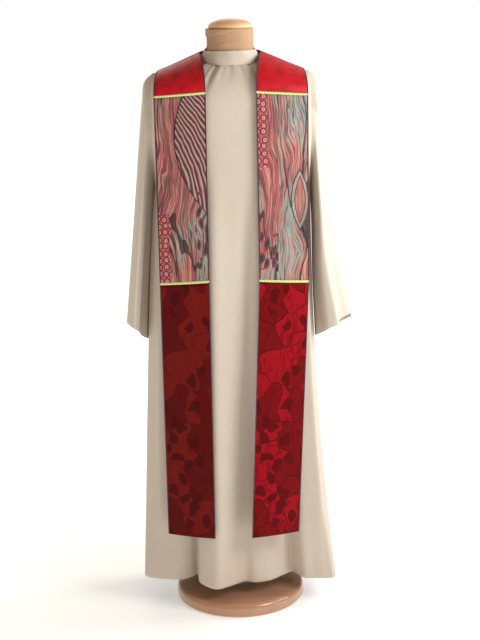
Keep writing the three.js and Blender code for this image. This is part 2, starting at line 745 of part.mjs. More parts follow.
function addStrip(side) {
  const yokeShare = PIPING_WIDTH / 2 / YOKE_LENGTH;
  const printShare = PIPING_WIDTH / 2 / (UPPER_PIPING - LOWER_PIPING);
  const tailShare = PIPING_WIDTH / 2 / (LOWER_PIPING - STOLE_END);
  const seamShare = 0.0012;
  const ridgeShare = 0.004;
  const upper = { from: 1 - yokeShare, to: 1 + printShare };
  const lower = { from: 2 - printShare, to: 2 + tailShare };
  const yokeEnd = upper.from - seamShare * 4;
  const low = LINING + LAYER_GAP;
  const faces = [
    ["stole_yoke", "satin", ridgeShare, yokeEnd, 8, low + FACE],
    ["piping_upper", "piping", upper.from, upper.to, 2, low + PIPING],
    ["stole_print", "print", upper.to + seamShare, lower.from - seamShare, 2, low + FACE],
    ["piping_lower", "piping", lower.from, lower.to, 2, low + PIPING],
    ["stole_tail", "damask", lower.to + seamShare, 3, 6, low + FACE],
  ];
  faces.forEach(([name, look, from, to, count, high]) => {
    const piece = alongNormal(stripPiece(side, from, to));
    add(`${name}_${side}`, look, sheet(piece, rowsThrough([0, 1], [count]), 3, low, high));
  });
  const lining = alongNormal(stripPiece(side, ridgeShare, 3));
  const seams = [ridgeShare, yokeEnd, upper.to, lower.from, lower.to + seamShare, 3];
  const knots = seams.map((s) => (s - ridgeShare) / (3 - ridgeShare));
  const rows = rowsThrough(knots, [8, 1, 2, 1, 6]);
  add(`stole_lining_${side}`, "lining", sheet(lining, rows, 3, 0, LINING));
}

// The band behind the neck, which joins the two strips at the shoulder lines. It is cut double, so
// it needs no lining. It lies on the alb's back, and stands off it at the neck and over the buttons.
function addNape() {
  const ridgeQ = (x) => 0.5 + (0.5 * (x - COLLAR_HALF)) / (SEAM_HALF - COLLAR_HALF);
  const ridgeShare = 0.004;
  const onAlb = alongNormal(albBack);
  const at = (s, t, distance) => {
    const angle = mix(Math.PI, 0, t);
    const outwards = 1 - s;
    const q = mix(ridgeQ(STOLE_INNER.ridge), ridgeQ(STOLE_OUTER.ridge), outwards) * Math.cos(angle);
    const along = mix(ridgeShare, NAPE_REACH, outwards * Math.sin(angle));
    const stand = mix(STOLE_LIFT - stoleThick, NAPE_CLEAR * Math.sin(angle), outwards);
    return onAlb(along, (1 - q) / 2, stoleFoot + stand + distance);
  };
  add("stole_nape", "satin", sheet(at, rowsThrough([0, 1], [6]), 20, 0, stoleThick));
}

// ---- The whole object --------------------------------------------------------------------

addBase();
addPole();
addMast();
addTorso();
addAlb();
addStrip("left");
addStrip("right");
addNape();

export default group;
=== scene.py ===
"""A long alb and a wide stole on a display form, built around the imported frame. Metres, +Z up.

The front faces -Y. Left and right are as seen from the front: left is -X.
"""

import math

import bpy
import numpy as np
from mathutils import Matrix, Vector
from mathutils.bvhtree import BVHTree


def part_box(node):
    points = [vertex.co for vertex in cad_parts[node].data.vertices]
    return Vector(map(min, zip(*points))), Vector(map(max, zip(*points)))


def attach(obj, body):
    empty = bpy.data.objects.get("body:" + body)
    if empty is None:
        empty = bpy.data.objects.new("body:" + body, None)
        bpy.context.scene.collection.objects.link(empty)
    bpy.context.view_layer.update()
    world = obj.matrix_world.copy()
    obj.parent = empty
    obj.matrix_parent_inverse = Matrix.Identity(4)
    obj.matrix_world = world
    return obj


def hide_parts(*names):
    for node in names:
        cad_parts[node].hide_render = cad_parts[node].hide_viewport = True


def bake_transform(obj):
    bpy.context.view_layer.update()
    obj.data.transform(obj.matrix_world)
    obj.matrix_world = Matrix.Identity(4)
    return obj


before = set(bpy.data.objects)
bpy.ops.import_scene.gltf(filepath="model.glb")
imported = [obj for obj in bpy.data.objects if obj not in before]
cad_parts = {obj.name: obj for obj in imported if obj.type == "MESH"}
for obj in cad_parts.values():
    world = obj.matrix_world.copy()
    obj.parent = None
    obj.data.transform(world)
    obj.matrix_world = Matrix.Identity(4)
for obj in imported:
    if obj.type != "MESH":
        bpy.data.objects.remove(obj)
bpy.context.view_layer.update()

# ---- Driving dimensions, in metres -----------------------------------------------------------

CLOTH = 0.0012
COLLAR_HALF, COLLAR_DEPTH = 0.076, 0.072
NECKLINE_FRONT, NECKLINE_SIDE, NECKLINE_BACK = 1.503, 1.515, 1.522
COLLAR_HEIGHT_FRONT, COLLAR_HEIGHT_SIDE, COLLAR_HEIGHT_BACK = 0.036, 0.025, 0.038
SHOULDER_SLOPE = 0.26
SEAM_HALF = 0.208
CHEST_LEVEL = 1.4
UNDERARM = 1.18
ARMHOLE_DEPTH = 0.07
CHEST_FRONT, CHEST_BACK = 0.112, 0.108
HEM_HALF, HEM_FRONT, HEM_BACK = 0.27, 0.15, 0.152
HEM_LEVEL = 0.076
SECTION_POWER = 2 / 2.4
CAP_SHARE, CHEST_SHARE = 0.3, 0.45
HEM_FOLD = 0.078  # depth of the turned-up hem

UPPER_PIPING, LOWER_PIPING, STOLE_END = 1.438, 0.947, 0.233
PIPING_WIDTH = 0.0065
STOLE_THICK = 0.0027
STOLE_LIFT = 0.02
STOLE_FOOT = 0.0012
NAPE_REACH, NAPE_CLEAR = 0.31, 0.008

BASE_RADIUS, BASE_HEIGHT = 0.1815, 0.04
NECK_RADIUS, NECK_TOP = 0.06, 1.595
CAP_RADIUS, CAP_TOP = 0.057, 1.6204

SIGN = {"left": -1, "right": 1}


# ---- Curves and surfaces ---------------------------------------------------------------------


def lerp(a, b, t):
    return a + (b - a) * t


def smooth(t):
    t = np.clip(t, 0, 1)
    return t * t * (3 - 2 * t)


def ridge(x, centre, width):
    """1 at the centre, falling softly to 0 over about twice the width."""
    return np.exp(-(((x - centre) / width) ** 2))


def unit(vectors):
    return vectors / np.linalg.norm(vectors, axis=-1, keepdims=True)


def off_surface(at, distance, rows, cols, flip=False):
    """The points of at(rows, cols), moved along its normal."""
    step = 1e-3
    along = at(rows + step, cols) - at(rows - step, cols)
    across = at(rows, cols + step) - at(rows, cols - step)
    return at(rows, cols) + unit(np.cross(along, across)) * (-distance if flip else distance)


def spline(points, places, even=True):
    """Points on a smooth curve through points, at places from 0 to 1: by length, or by point."""
    p = np.array(points, float)
    p = np.vstack([2 * p[0] - p[1], p, 2 * p[-1] - p[-2]])
    count = len(p) - 3
    dense = np.linspace(0, count, count * 40 + 1)
    k = np.minimum(dense.astype(int), count - 1)
    t = (dense - k)[:, None]
    a, b, c, d = (p[k + i] for i in range(4))
    line = 0.5 * (
        2 * b + (c - a) * t + (2 * a - 5 * b + 4 * c - d) * t**2 + (3 * b - a - 3 * c + d) * t**3
    )
    if even:
        steps = np.linalg.norm(np.diff(line, axis=0), axis=1)
        along = np.concatenate([[0], np.cumsum(steps)])
        along = along / along[-1]
    else:
        along = dense / count
    places = np.asarray(places, float)
    return np.stack([np.interp(places, along, line[:, i]) for i in range(p.shape[1])], -1)


def shoulder_height(x):
    return NECKLINE_SIDE - SHOULDER_SLOPE * (np.abs(x) - COLLAR_HALF)


def neckline(turn, half, depth):
    """A point of the neckline. turn is 0 at the front, a quarter at +X, a half at the back."""
    angle = turn * 2 * math.pi
    far = np.where(np.cos(angle) > 0, NECKLINE_FRONT, NECKLINE_BACK)
    height = lerp(far, NECKLINE_SIDE, np.abs(np.sin(angle)) ** 4)
    return np.stack([half * np.sin(angle), -depth * np.cos(angle), height], -1)


def top_line(q, facing):
    """Shoulder, round the neck, shoulder, as q runs from -1 to 1."""
    size = np.abs(q)
    quarter = np.clip(size / 0.5, 0, 1) * 0.25
    neck = neckline(quarter if facing < 0 else 0.5 - quarter, COLLAR_HALF, COLLAR_DEPTH)
    x = lerp(COLLAR_HALF, SEAM_HALF, (size - 0.5) / 0.5)
    shoulder = np.stack([x, 0 * x, shoulder_height(x)], -1)
    point = np.where((size < 0.5)[..., None], neck, shoulder)
    point[..., 0] *= np.where(q < 0, -1, 1)
    return point


SIDE_FLARE = {-1: 0.68, 1: 2.05}  # how soon each side of the skirt spreads
SHOULDER_DROP = 0.3  # share of the fall to the chest that the cap's curve keeps to itself


def half_width(height, sign):
    spread = np.clip((UNDERARM - height) / (UNDERARM - HEM_LEVEL), 0, 1)
    flare = np.where(sign < 0, spread ** SIDE_FLARE[-1], spread ** SIDE_FLARE[1])
    return lerp(SEAM_HALF, HEM_HALF, flare)


def section(q, facing, height):
    """A point of the alb's smooth horizontal section, before its folds."""
    fall = (CHEST_LEVEL - height) / (CHEST_LEVEL - HEM_LEVEL)
    opening = (height - UNDERARM) / (shoulder_height(SEAM_HALF) - UNDERARM)
    front, back = lerp(CHEST_FRONT, HEM_FRONT, fall), lerp(CHEST_BACK, HEM_BACK, fall)
    depth = front if facing < 0 else back
    side = np.where(opening > 0, ARMHOLE_DEPTH * np.sin(math.pi * np.clip(opening, 0, 1)), 0)
    angle = q * math.pi / 2
    x = half_width(height, q) * np.sign(q) * np.abs(np.sin(angle)) ** SECTION_POWER
    y = side + (depth - side) * np.clip(np.cos(angle), 0, 1) ** SECTION_POWER
    return np.stack([x, facing * y, height + 0 * q], -1)


def level(s):
    """Height of the rows below the shoulder cap."""
    upper = lerp(CHEST_LEVEL, UNDERARM, (s - CAP_SHARE) / (CHEST_SHARE - CAP_SHARE))
    lower = lerp(UNDERARM, HEM_LEVEL, (s - CHEST_SHARE) / (1 - CHEST_SHARE))
    return np.where(s < CAP_SHARE, CHEST_LEVEL, np.where(s < CHEST_SHARE, upper, lower))


def trunk(s, q, facing):
    """The alb's smooth body. s is 0 along the top line and 1 at the hem."""
    end = section(q, facing, level(s))
    start = top_line(q, facing)
    control = end.copy()
    control[..., 2] = lerp(start[..., 2], CHEST_LEVEL, SHOULDER_DROP)
    t = np.clip(s / CAP_SHARE, 0, 1)[..., None]
    cap = start * (1 - t) ** 2 + control * 2 * t * (1 - t) + end * t**2
    return np.where((s < CAP_SHARE)[..., None], cap, end)


# The hem as it hangs: place across, from -1 to 1, with x and y. One deep fold rolls over in
# front of the left half, and a shallow one sinks in at the right.
FRONT_HEM = [
    (-1.0, -0.270, 0.000), (-0.86, -0.267, -0.060), (-0.62, -0.221, -0.080),
    (-0.45, -0.177, -0.087), (-0.34, -0.142, -0.074), (-0.27, -0.120, -0.054),
    (-0.215, -0.112, -0.112), (-0.13, -0.068, -0.157), (-0.05, -0.029, -0.139),
    (0.02, 0.013, -0.109), (0.075, 0.044, -0.116), (0.158, 0.084, -0.104),
    (0.244, 0.119, -0.072), (0.32, 0.148, -0.046), (0.37, 0.163, -0.064),
    (0.43, 0.182, -0.092), (0.53, 0.211, -0.094), (0.69, 0.242, -0.096),
    (0.88, 0.268, -0.084), (1.0, 0.272, 0.000),
]
BACK_HEM = [
    (-1.0, -0.270, 0.000), (-0.86, -0.262, 0.066), (-0.66, -0.222, 0.112), (-0.50, -0.172, 0.098),
    (-0.34, -0.128, 0.140), (-0.16, -0.070, 0.152), (0.0, -0.006, 0.122), (0.16, 0.062, 0.154),
    (0.34, 0.128, 0.136), (0.48, 0.172, 0.104), (0.66, 0.226, 0.110), (0.86, 0.264, 0.064),
    (1.0, 0.272, 0.000),
]
HEM_CURVE = {
    facing: spline(hem, np.linspace(0, 1, 1500), even=False)
    for facing, hem in ((-1, FRONT_HEM), (1, BACK_HEM))
}
FOLD_TOP = 1.12


def hem_offset(q, facing):
    """How far the hanging hem lies from the smooth section, as x and y."""
    curve = HEM_CURVE[facing]
    lying = np.stack([np.interp(q, curve[:, 0], curve[:, i]) for i in (1, 2)], -1)
    return lying - section(q, facing, np.full_like(q, HEM_LEVEL))[..., :2]


# Small folds: place across, half-width, depth, top and bottom height.
GATHERS = [
    (-0.405, 0.020, -0.003, 1.500, 1.430), (-0.355, 0.024, 0.0075, 1.500, 1.415),
    (-0.295, 0.020, -0.0035, 1.500, 1.43), (-0.215, 0.02, 0.0025, 1.500, 1.45),
    (-0.155, 0.024, 0.0068, 1.500, 1.420), (-0.095, 0.02, -0.003, 1.500, 1.44),
    (0.0, 0.02, 0.0026, 1.500, 1.45), (0.10, 0.022, 0.0030, 1.500, 1.44),
    (0.22, 0.022, 0.0034, 1.500, 1.435), (0.33, 0.022, 0.0038, 1.500, 1.43),
]
SOFT_FOLDS = [
    (-0.10, 0.06, -0.008, 1.30, 0.1), (0.075, 0.045, 0.0105, 1.22, 0.1),
    (0.17, 0.06, -0.004, 1.40, 0.3), (-0.24, 0.05, 0.004, 1.38, 0.4),
    (0.86, 0.05, 0.010, 1.15, 0.1), (-0.86, 0.05, 0.008, 1.15, 0.1),
    (0.70, 0.06, -0.008, 1.0, 0.1), (-0.62, 0.06, -0.006, 1.0, 0.1),
]


BACK_FOLDS = (-0.62, -0.36, -0.12, 0.2, 0.43, 0.66)
BACK_FOLD_WIDTH, BACK_FOLD_DEPTH = 0.05, 0.009
BACK_FOLD_TOP, BACK_FOLD_BOTTOM = 1.36, 0.2
GATHER_LEAN = 0.25  # how far a gather leans sideways as it falls
HEM_RIDGE = 0.0012  # how far the top edge of the turned-up hem shows through


def alb_body(s, q, facing):
    """The alb's body with its folds."""
    point = trunk(s, q, facing)
    height = point[..., 2]
    hang = np.clip((FOLD_TOP - height) / (FOLD_TOP - HEM_LEVEL), 0, 1) ** 1.25
    point[..., :2] += hem_offset(q, facing) * hang[..., None]
    sink = 0 * q
    if facing < 0:
        for place, width, depth, top, bottom in GATHERS:
            fade = smooth((height - bottom) / (top - bottom)) * (height < NECKLINE_FRONT + 0.01)
            sink += depth * fade * ridge(q, place - GATHER_LEAN * (top - height), width)
        for place, width, depth, top, bottom in SOFT_FOLDS:
            fade = smooth((top - height) / 0.25) * smooth((height - bottom) / 0.3)
            sink += depth * fade * ridge(q, place, width)
    else:
        fade = smooth((BACK_FOLD_TOP - height) / 0.3) * smooth((height - BACK_FOLD_BOTTOM) / 0.4)
        for place in BACK_FOLDS:
            sink += BACK_FOLD_DEPTH * fade * ridge(q, place, BACK_FOLD_WIDTH)
    sink += HEM_RIDGE * ridge(height, HEM_LEVEL + HEM_FOLD, 0.003)
    angle = q * math.pi / 2
    point[..., 0] -= sink * np.sin(angle)
    point[..., 1] -= sink * np.cos(angle) * facing
    return point


# ---- Meshes ----------------------------------------------------------------------------------


def lengths(points):
    """Distance along the middle of a grid's rows and columns, for texture places in metres."""
    down = np.linalg.norm(np.diff(points[:, points.shape[1] // 2], axis=0), axis=1)
    across = np.linalg.norm(np.diff(points[points.shape[0] // 2], axis=0), axis=1)
    v = np.concatenate([[0], np.cumsum(down)])
    u = np.concatenate([[0], np.cumsum(across)])
    return np.meshgrid(u, v)


def unit_grid(cols, rows):
    """Places from 0 to 1 across and down a grid."""
    return np.meshgrid(np.linspace(0, 1, cols), np.linspace(0, 1, rows))


def new_object(name, data):
    made = bpy.data.objects.new(name, data)
    bpy.context.scene.collection.objects.link(made)
    return made


def grid(name, points, wrap=False, thick=CLOTH):
    """A mesh object from rows of points. wrap joins the last column to the first, which it
    repeats. thick closes it into cloth of that thickness."""
    rows, cols = points.shape[:2]
    u, v = lengths(points)
    used = cols - 1 if wrap else cols
    index = np.arange(rows * used).reshape(rows, used)
    right = np.roll(index, -1, axis=1) if wrap else index[:, 1:]
    left = index if wrap else index[:, :-1]
    faces = np.stack([left[:-1], left[1:], right[1:], right[:-1]], -1).reshape(-1, 4)
    mesh = bpy.data.meshes.new(name)
    mesh.from_pydata(points[:, :used].reshape(-1, 3).tolist(), [], faces.tolist())
    corners = [
        np.stack([g[:-1, :-1], g[1:, :-1], g[1:, 1:], g[:-1, 1:]], -1).reshape(-1) for g in (u, v)
    ]
    layer = mesh.uv_layers.new(name="cloth")
    layer.data.foreach_set("uv", np.stack(corners, -1).astype(np.float32).ravel())
    mesh.shade_smooth()
    piece = new_object(name, mesh)
    if thick:
        wall = piece.modifiers.new("thickness", "SOLIDIFY")
        wall.thickness = thick
        wall.offset = 0
        wall.use_even_offset = False
    return piece


def finish_piece(piece, body, material, stands_for=()):
    piece.data.materials.append(material)
    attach(piece, body)
    if stands_for:
        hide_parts(*stands_for)
    return piece


# ---- Materials -------------------------------------------------------------------------------


class Shader:
    """A material, with short ways to add and join its nodes."""

    def __init__(self, name):
        self.material = bpy.data.materials.new(name)
        self.material.use_nodes = True
        self.tree = self.material.node_tree
        self.surface = self.tree.nodes["Principled BSDF"]

    def node(self, kind, inputs=None, **settings):
        made = self.tree.nodes.new("ShaderNode" + kind)
        for key, value in settings.items():
            setattr(made, key, value)
        for key, value in (inputs or {}).items():
            self.put(made.inputs[key], value)
        return made

    def put(self, socket, value):
        if isinstance(value, bpy.types.NodeSocket):
            self.tree.links.new(value, socket)
        else:
            socket.default_value = value

    def math(self, operation, a, b=0.0):
        return self.node("Math", {0: a, 1: b}, operation=operation).outputs[0]

    def plus(self, a, b):
        return self.math("ADD", a, b)

    def minus(self, a, b):
        return self.math("SUBTRACT", a, b)

    def times(self, a, b):
        return self.math("MULTIPLY", a, b)

    def above(self, a, b):
        return self.math("GREATER_THAN", a, b)

    def below(self, a, b):
        return self.math("LESS_THAN", a, b)

    def apart(self, a, b):
        return self.math("ABSOLUTE", self.minus(a, b))

    def mix(self, factor, a, b):
        made = self.node("Mix", {"Factor": factor}, data_type="RGBA")
        self.put(made.inputs[6], a)
        self.put(made.inputs[7], b)
        return made.outputs[2]

    def cloth_place(self):
        return self.node("TexCoord").outputs["UV"]

    def stretch(self, place, scale, shift=(0, 0, 0), turn=0.0):
        inputs = {"Vector": place, "Scale": scale, "Location": shift, "Rotation": (0, 0, turn)}
        return self.node("Mapping", inputs).outputs[0]

    def noise(self, place, scale, detail=2.0, rough=0.5):
        inputs = {"Vector": place, "Scale": scale, "Detail": detail, "Roughness": rough}
        return self.node("TexNoise", inputs).outputs["Fac"]

    def cells(self, place, scale, random, feature="F1"):
        inputs = {"Vector": place, "Scale": scale, "Randomness": random}
        return self.node("TexVoronoi", inputs, voronoi_dimensions="2D", feature=feature)

    def ramp(self, value, stops):
        made = self.node("ValToRGB", {"Fac": value})
        ramp = made.color_ramp
        while len(ramp.elements) < len(stops):
            ramp.elements.new(1.0)
        for element, (place, colour) in zip(ramp.elements, stops):
            element.position = place
            element.color = colour if len(colour) == 4 else (*colour, 1)
        return made.outputs["Color"]

    def bump(self, height, strength, distance):
        inputs = {"Height": height, "Strength": strength, "Distance": distance}
        return self.node("Bump", inputs).outputs[0]

    def finish(self, colour, rough, normal=None, **fixed):
        self.put(self.surface.inputs["Base Color"], colour)
        self.put(self.surface.inputs["Roughness"], rough)
        if normal is not None:
            self.put(self.surface.inputs["Normal"], normal)
        for key, value in fixed.items():
            self.surface.inputs[key.replace("_", " ")].default_value = value
        return self.material


def linear(red, green, blue):
    """A colour given as it looks, 0 to 255, for a shader."""
    parts = [c / 255 for c in (red, green, blue)]
    return (*(p / 12.92 if p <= 0.04045 else ((p + 0.055) / 1.055) ** 2.4 for p in parts), 1)


def weave(shader, pitch, slub):
    """Height and shade of a plain weave: threads both ways, some of them thicker."""
    place = shader.cloth_place()
    across = shader.noise(shader.stretch(place, (1 / pitch, slub, 1)), 1, 1)
    along = shader.noise(shader.stretch(place, (slub, 1 / pitch, 1)), 1, 1)
    threads = shader.plus(across, along)
    return shader.times(threads, 0.5)


def cloth_material(name, colour, shade, pitch=0.0011, rough=0.85, depth=0.0003, sheen=0.15):
    """Woven cloth in two close shades."""
    shader = Shader(name)
    threads = weave(shader, pitch, 60)
    cloudy = shader.noise(shader.cloth_place(), 9, 3)
    blend = shader.plus(shader.times(threads, 1.3), shader.times(cloudy, 0.4))
    tint = shader.mix(shader.minus(blend, 0.35), shade, colour)
    normal = shader.bump(threads, 0.5, depth)
    return shader.finish(tint, rough, normal, Sheen_Weight=sheen, Sheen_Roughness=0.5)


def satin_material(name, deep, bright):
    """Glossy cloth with soft, cloud-shaped patches a shade deeper."""
    shader = Shader(name)
    threads = weave(shader, 0.0006, 90)
    cloud = shader.noise(shader.cloth_place(), 42, 4, 0.6)
    patches = shader.ramp(cloud, [(0.34, (0, 0, 0)), (0.5, (0.6, 0.6, 0.6)), (0.68, (1, 1, 1))])
    blend = shader.plus(shader.times(patches, 0.85), shader.times(threads, 0.2))
    tint = shader.mix(blend, deep, bright)
    normal = shader.bump(threads, 0.25, 0.0002)
    gloss = shader.minus(0.52, shader.times(patches, 0.1))
    return shader.finish(
        tint, gloss, normal, Sheen_Weight=0.2, Sheen_Roughness=0.35,
        Sheen_Tint=(1.0, 0.5, 0.62, 1), Specular_IOR_Level=0.28
    )


def plain_material(name, colour, rough, metal=0.0, speck=0.06):
    """Metal, plastic or board: one colour with fine uneven gloss."""
    shader = Shader(name)
    place = shader.node("TexCoord").outputs["Object"]
    fine = shader.noise(place, 220, 3)
    broad = shader.noise(place, 18, 2)
    tint = shader.mix(shader.times(broad, 0.5), colour, tuple(c * 0.8 for c in colour[:3]) + (1,))
    gloss = shader.plus(rough - speck / 2, shader.times(fine, speck))
    return shader.finish(tint, gloss, shader.bump(fine, 0.1, 0.0002), Metallic=metal)


def wood_material(name, pale, deep, rough, coat):
    """Beech: long grain along X, with short dark flecks."""
    shader = Shader(name)
    place = shader.node("TexCoord").outputs["Object"]
    grain = shader.noise(shader.stretch(place, (2.5, 46, 30)), 1, 4, 0.6)
    fleck = shader.noise(shader.stretch(place, (70, 620, 620)), 1, 1)
    broad = shader.noise(shader.stretch(place, (1.5, 9, 9)), 1, 2)
    blend = shader.plus(shader.times(grain, 0.7), shader.times(broad, 0.5))
    tint = shader.mix(shader.minus(blend, 0.1), deep, pale)
    dark = shader.times(shader.above(fleck, 0.66), 0.35)
    tint = shader.mix(dark, tint, tuple(c * 0.55 for c in deep[:3]) + (1,))
    normal = shader.bump(grain, 0.12, 0.0006)
    return shader.finish(tint, rough, normal, Coat_Weight=coat, Coat_Roughness=0.12)


def damask_material(name, dark, middle, bright, vein, contrast):
    """Figured silk: broad petals and small dark leaves with veins that branch between them."""
    shader = Shader(name)
    place = shader.cloth_place()
    bend = shader.node("TexNoise", {"Vector": place, "Scale": 16.0, "Detail": 2.0}).outputs["Color"]
    bent = shader.node("VectorMath", {0: bend, 1: (0.5, 0.5, 0.5)}, operation="SUBTRACT").outputs[0]
    bent = shader.node("VectorMath", {0: bent, "Scale": 0.055}, operation="SCALE").outputs[0]
    bent = shader.node("VectorMath", {0: place, 1: bent}, operation="ADD").outputs[0]

    def bent_cells(scale, turn, feature="F1"):
        return shader.cells(shader.stretch(bent, (1, 0.72, 1), turn=turn), scale, 1.0, feature)

    petals, leaves = bent_cells(20.0, 0.4), bent_cells(33.0, -0.6)
    tone = shader.node("SeparateColor", {"Color": petals.outputs["Color"]}).outputs[0]
    leaf = shader.node("SeparateColor", {"Color": leaves.outputs["Color"]}).outputs[1]
    tint = shader.ramp(tone, [
        (0.0, middle), (0.34, middle), (0.36, bright), (0.7, bright), (0.72, middle), (1.0, middle),
    ])
    small = shader.times(shader.below(leaves.outputs["Distance"], 0.42), shader.above(leaf, 0.66))
    tint = shader.mix(shader.times(small, 0.9), tint, dark)
    vein_lines = shader.below(bent_cells(20.0, 0.4, "DISTANCE_TO_EDGE").outputs[0], 0.026)
    twigs = shader.below(bent_cells(34.0, 0.9, "DISTANCE_TO_EDGE").outputs[0], 0.03)
    wild = shader.above(shader.noise(place, 13, 2), 0.5)
    twigs = shader.times(shader.times(twigs, wild), 0.7)
    streak = shader.noise(shader.stretch(bent, (70, 18, 1), turn=0.5), 1, 2)
    streaks = shader.times(shader.above(streak, 0.57), 0.5)
    lines = shader.math("MAXIMUM", shader.math("MAXIMUM", vein_lines, twigs), streaks)
    tint = shader.mix(shader.times(lines, contrast), tint, vein)
    threads = weave(shader, 0.0006, 90)
    tint = shader.mix(shader.times(threads, 0.2), tint, dark)
    normal = shader.bump(threads, 0.3, 0.0002)
    gloss = shader.minus(0.6, shader.times(tone, 0.1))
    return shader.finish(tint, gloss, normal, Sheen_Weight=0.0, Specular_IOR_Level=0.08)


SALMON, ROSE, MAGENTA = linear(196, 116, 104), linear(166, 74, 90), linear(118, 34, 66)
AQUA, TEAL, INK, PALE = linear(158, 178, 170), linear(58, 84, 78), linear(34, 40, 42), linear(206, 158, 142)


class Print(Shader):
    """Printed cloth. Places on it are u across and v down the panel, in metres."""

    def __init__(self, name, seed):
        super().__init__(name)
        self.place = self.stretch(self.cloth_place(), (1, 1, 1), shift=(seed, seed * 0.7, 0))
        here = self.node("SeparateXYZ", {"Vector": self.cloth_place()})
        self.u, self.v = here.outputs[0], here.outputs[1]
        moved = self.node("SeparateXYZ", {"Vector": self.place})
        big = self.noise(self.stretch(self.place, (8, 5.0, 1)), 1, 1)
        self.mid = self.noise(self.stretch(self.place, (34, 13, 1)), 1, 2)
        wander = self.plus(self.times(big, 0.10), self.times(self.mid, 0.016))
        across = self.plus(moved.outputs[0], wander)
        self.flow = self.node("CombineXYZ", {0: across, 1: moved.outputs[1], 2: 0.0}).outputs[0]
        self.tint = None

    def over(self, mask, tint):
        self.tint = self.mix(mask, self.tint, tint)

    COOL_EDGE = 0.06  # how softly the warm lines turn into the cool ones

    def ground(self, cool_from):
        """Long wandering lines: warm ones, and grey-green ones where a slow noise is high."""
        bands = self.noise(self.stretch(self.flow, (75, 2.4, 1)), 1, 3, 0.6)
        stripes = self.math("FRACT", self.times(bands, 4.0))
        warm = self.ramp(stripes, [
            (0.0, SALMON), (0.16, PALE), (0.27, ROSE), (0.4, SALMON), (0.52, MAGENTA), (0.6, SALMON),
            (0.78, ROSE), (0.9, TEAL), (1.0, SALMON),
        ])
        cool = self.ramp(stripes, [
            (0.0, AQUA), (0.22, SALMON), (0.38, AQUA), (0.52, TEAL), (0.6, AQUA), (0.78, PALE),
            (0.9, INK), (1.0, AQUA),
        ])
        zone = self.noise(self.stretch(self.flow, (15, 2.4, 1), shift=(3.1, 1.7, 0)), 1, 2)
        is_cool = self.ramp(zone, [(cool_from, (0, 0, 0)), (cool_from + self.COOL_EDGE, (1, 1, 1))])
        self.tint = self.mix(is_cool, warm, cool)
        fine = self.noise(self.stretch(self.flow, (230, 6, 1)), 1, 2)
        self.over(self.times(self.above(fine, 0.58), 0.5), MAGENTA)
        self.over(self.times(self.below(fine, 0.38), 0.55), TEAL)
        slow = self.noise(self.stretch(self.flow, (17, 2.0, 1), shift=(7.7, 0.4, 0)), 1, 1)
        self.over(self.times(self.below(self.apart(slow, 0.5), 0.012), 0.8), INK)

    def within(self, low_u, high_u, low_v, high_v):
        """1 inside a patch with an uneven edge."""
        edge = self.times(self.minus(self.mid, 0.5), 0.03)
        inside = 1.0
        limits = (self.u, low_u, 1), (self.u, high_u, -1), (self.v, low_v, 1), (self.v, high_v, -1)
        for value, limit, sign in limits:
            gap = self.times(self.minus(value, limit), sign)
            near = self.above(self.plus(gap, edge), 0)
            inside = self.times(inside, near)
        return inside

    def rings(self, *patch):
        far = self.cells(self.stretch(self.place, (1, 0.9, 1)), 60.0, 0.3).outputs["Distance"]
        tint = self.ramp(far, [
            (0.0, ROSE), (0.1, SALMON), (0.2, PALE), (0.31, SALMON), (0.37, MAGENTA), (0.46, MAGENTA),
            (0.51, ROSE), (0.62, SALMON), (0.8, INK),
        ])
        self.over(self.within(*patch), tint)

    def quills(self, middle, reach):
        """A fan of slanting stripes inside a curved line from the top of the inner edge."""
        off = self.math("POWER", self.apart(self.v, middle), 2.0)
        limit = self.plus(reach, self.times(off, 2.1))
        inside = self.minus(self.u, limit)
        slant = self.plus(self.times(self.u, 88), self.times(self.v, -46))
        slant = self.plus(slant, self.times(self.mid, 1.2))
        slant = self.plus(slant, self.times(off, 120))
        stripes = self.ramp(self.math("FRACT", slant), [
            (0.0, MAGENTA), (0.2, SALMON), (0.38, AQUA), (0.5, PALE), (0.6, INK), (0.75, TEAL),
            (0.9, MAGENTA),
        ])
        self.over(self.above(inside, 0), stripes)
        self.over(self.below(self.math("ABSOLUTE", inside), 0.0014), INK)

    def pod(self, middle_u, middle_v, half_u, half_v):
        """A long pointed pod with a dark outline."""
        across = self.math("DIVIDE", self.apart(self.u, middle_u), half_u)
        down = self.math("DIVIDE", self.minus(self.v, middle_v), half_v)
        down = self.times(down, down)
        size = self.plus(self.plus(across, down), self.times(self.mid, 0.2))
        tint = self.ramp(size, [(0.0, PALE), (0.4, SALMON), (0.7, PALE), (1.0, AQUA)])
        self.over(self.times(self.below(size, 1.0), 0.55), tint)
        for reach, wide in ((1.0, 0.07), (0.62, 0.05)):
            off = self.apart(size, reach)
            self.over(self.below(off, wide), TEAL)

    def seeds(self, *patch):
        far = self.cells(self.stretch(self.flow, (1, 0.42, 1)), 58.0, 0.9).outputs["Distance"]
        tint = self.ramp(far, [(0.0, INK), (0.24, TEAL), (0.28, MAGENTA), (0.38, ROSE), (1.0, SALMON)])
        self.over(self.times(self.within(*patch), self.below(far, 0.4)), tint)

    def done(self):
        threads = weave(self, 0.0009, 70)
        tint = self.mix(self.times(threads, 0.14), self.tint, INK)
        normal = self.bump(threads, 0.3, 0.0003)
        return self.finish(tint, 0.7, normal, Sheen_Weight=0.05, Specular_IOR_Level=0.2)


def print_left():
    shader = Print("print_left", 1.3)
    shader.ground(0.54)
    shader.quills(0.11, 0.052)
    shader.rings(-0.1, 0.03, 0.30, 0.6)
    shader.seeds(0.104, 0.2, 0.25, 0.43)
    return shader.done()


def print_right():
    shader = Print("print_right", 4.6)
    shader.ground(0.47)
    shader.rings(-0.1, 0.028, -0.1, 0.19)
    shader.pod(0.112, 0.27, 0.026, 0.085)
    shader.seeds(-0.1, 0.05, 0.36, 0.46)
    return shader.done()


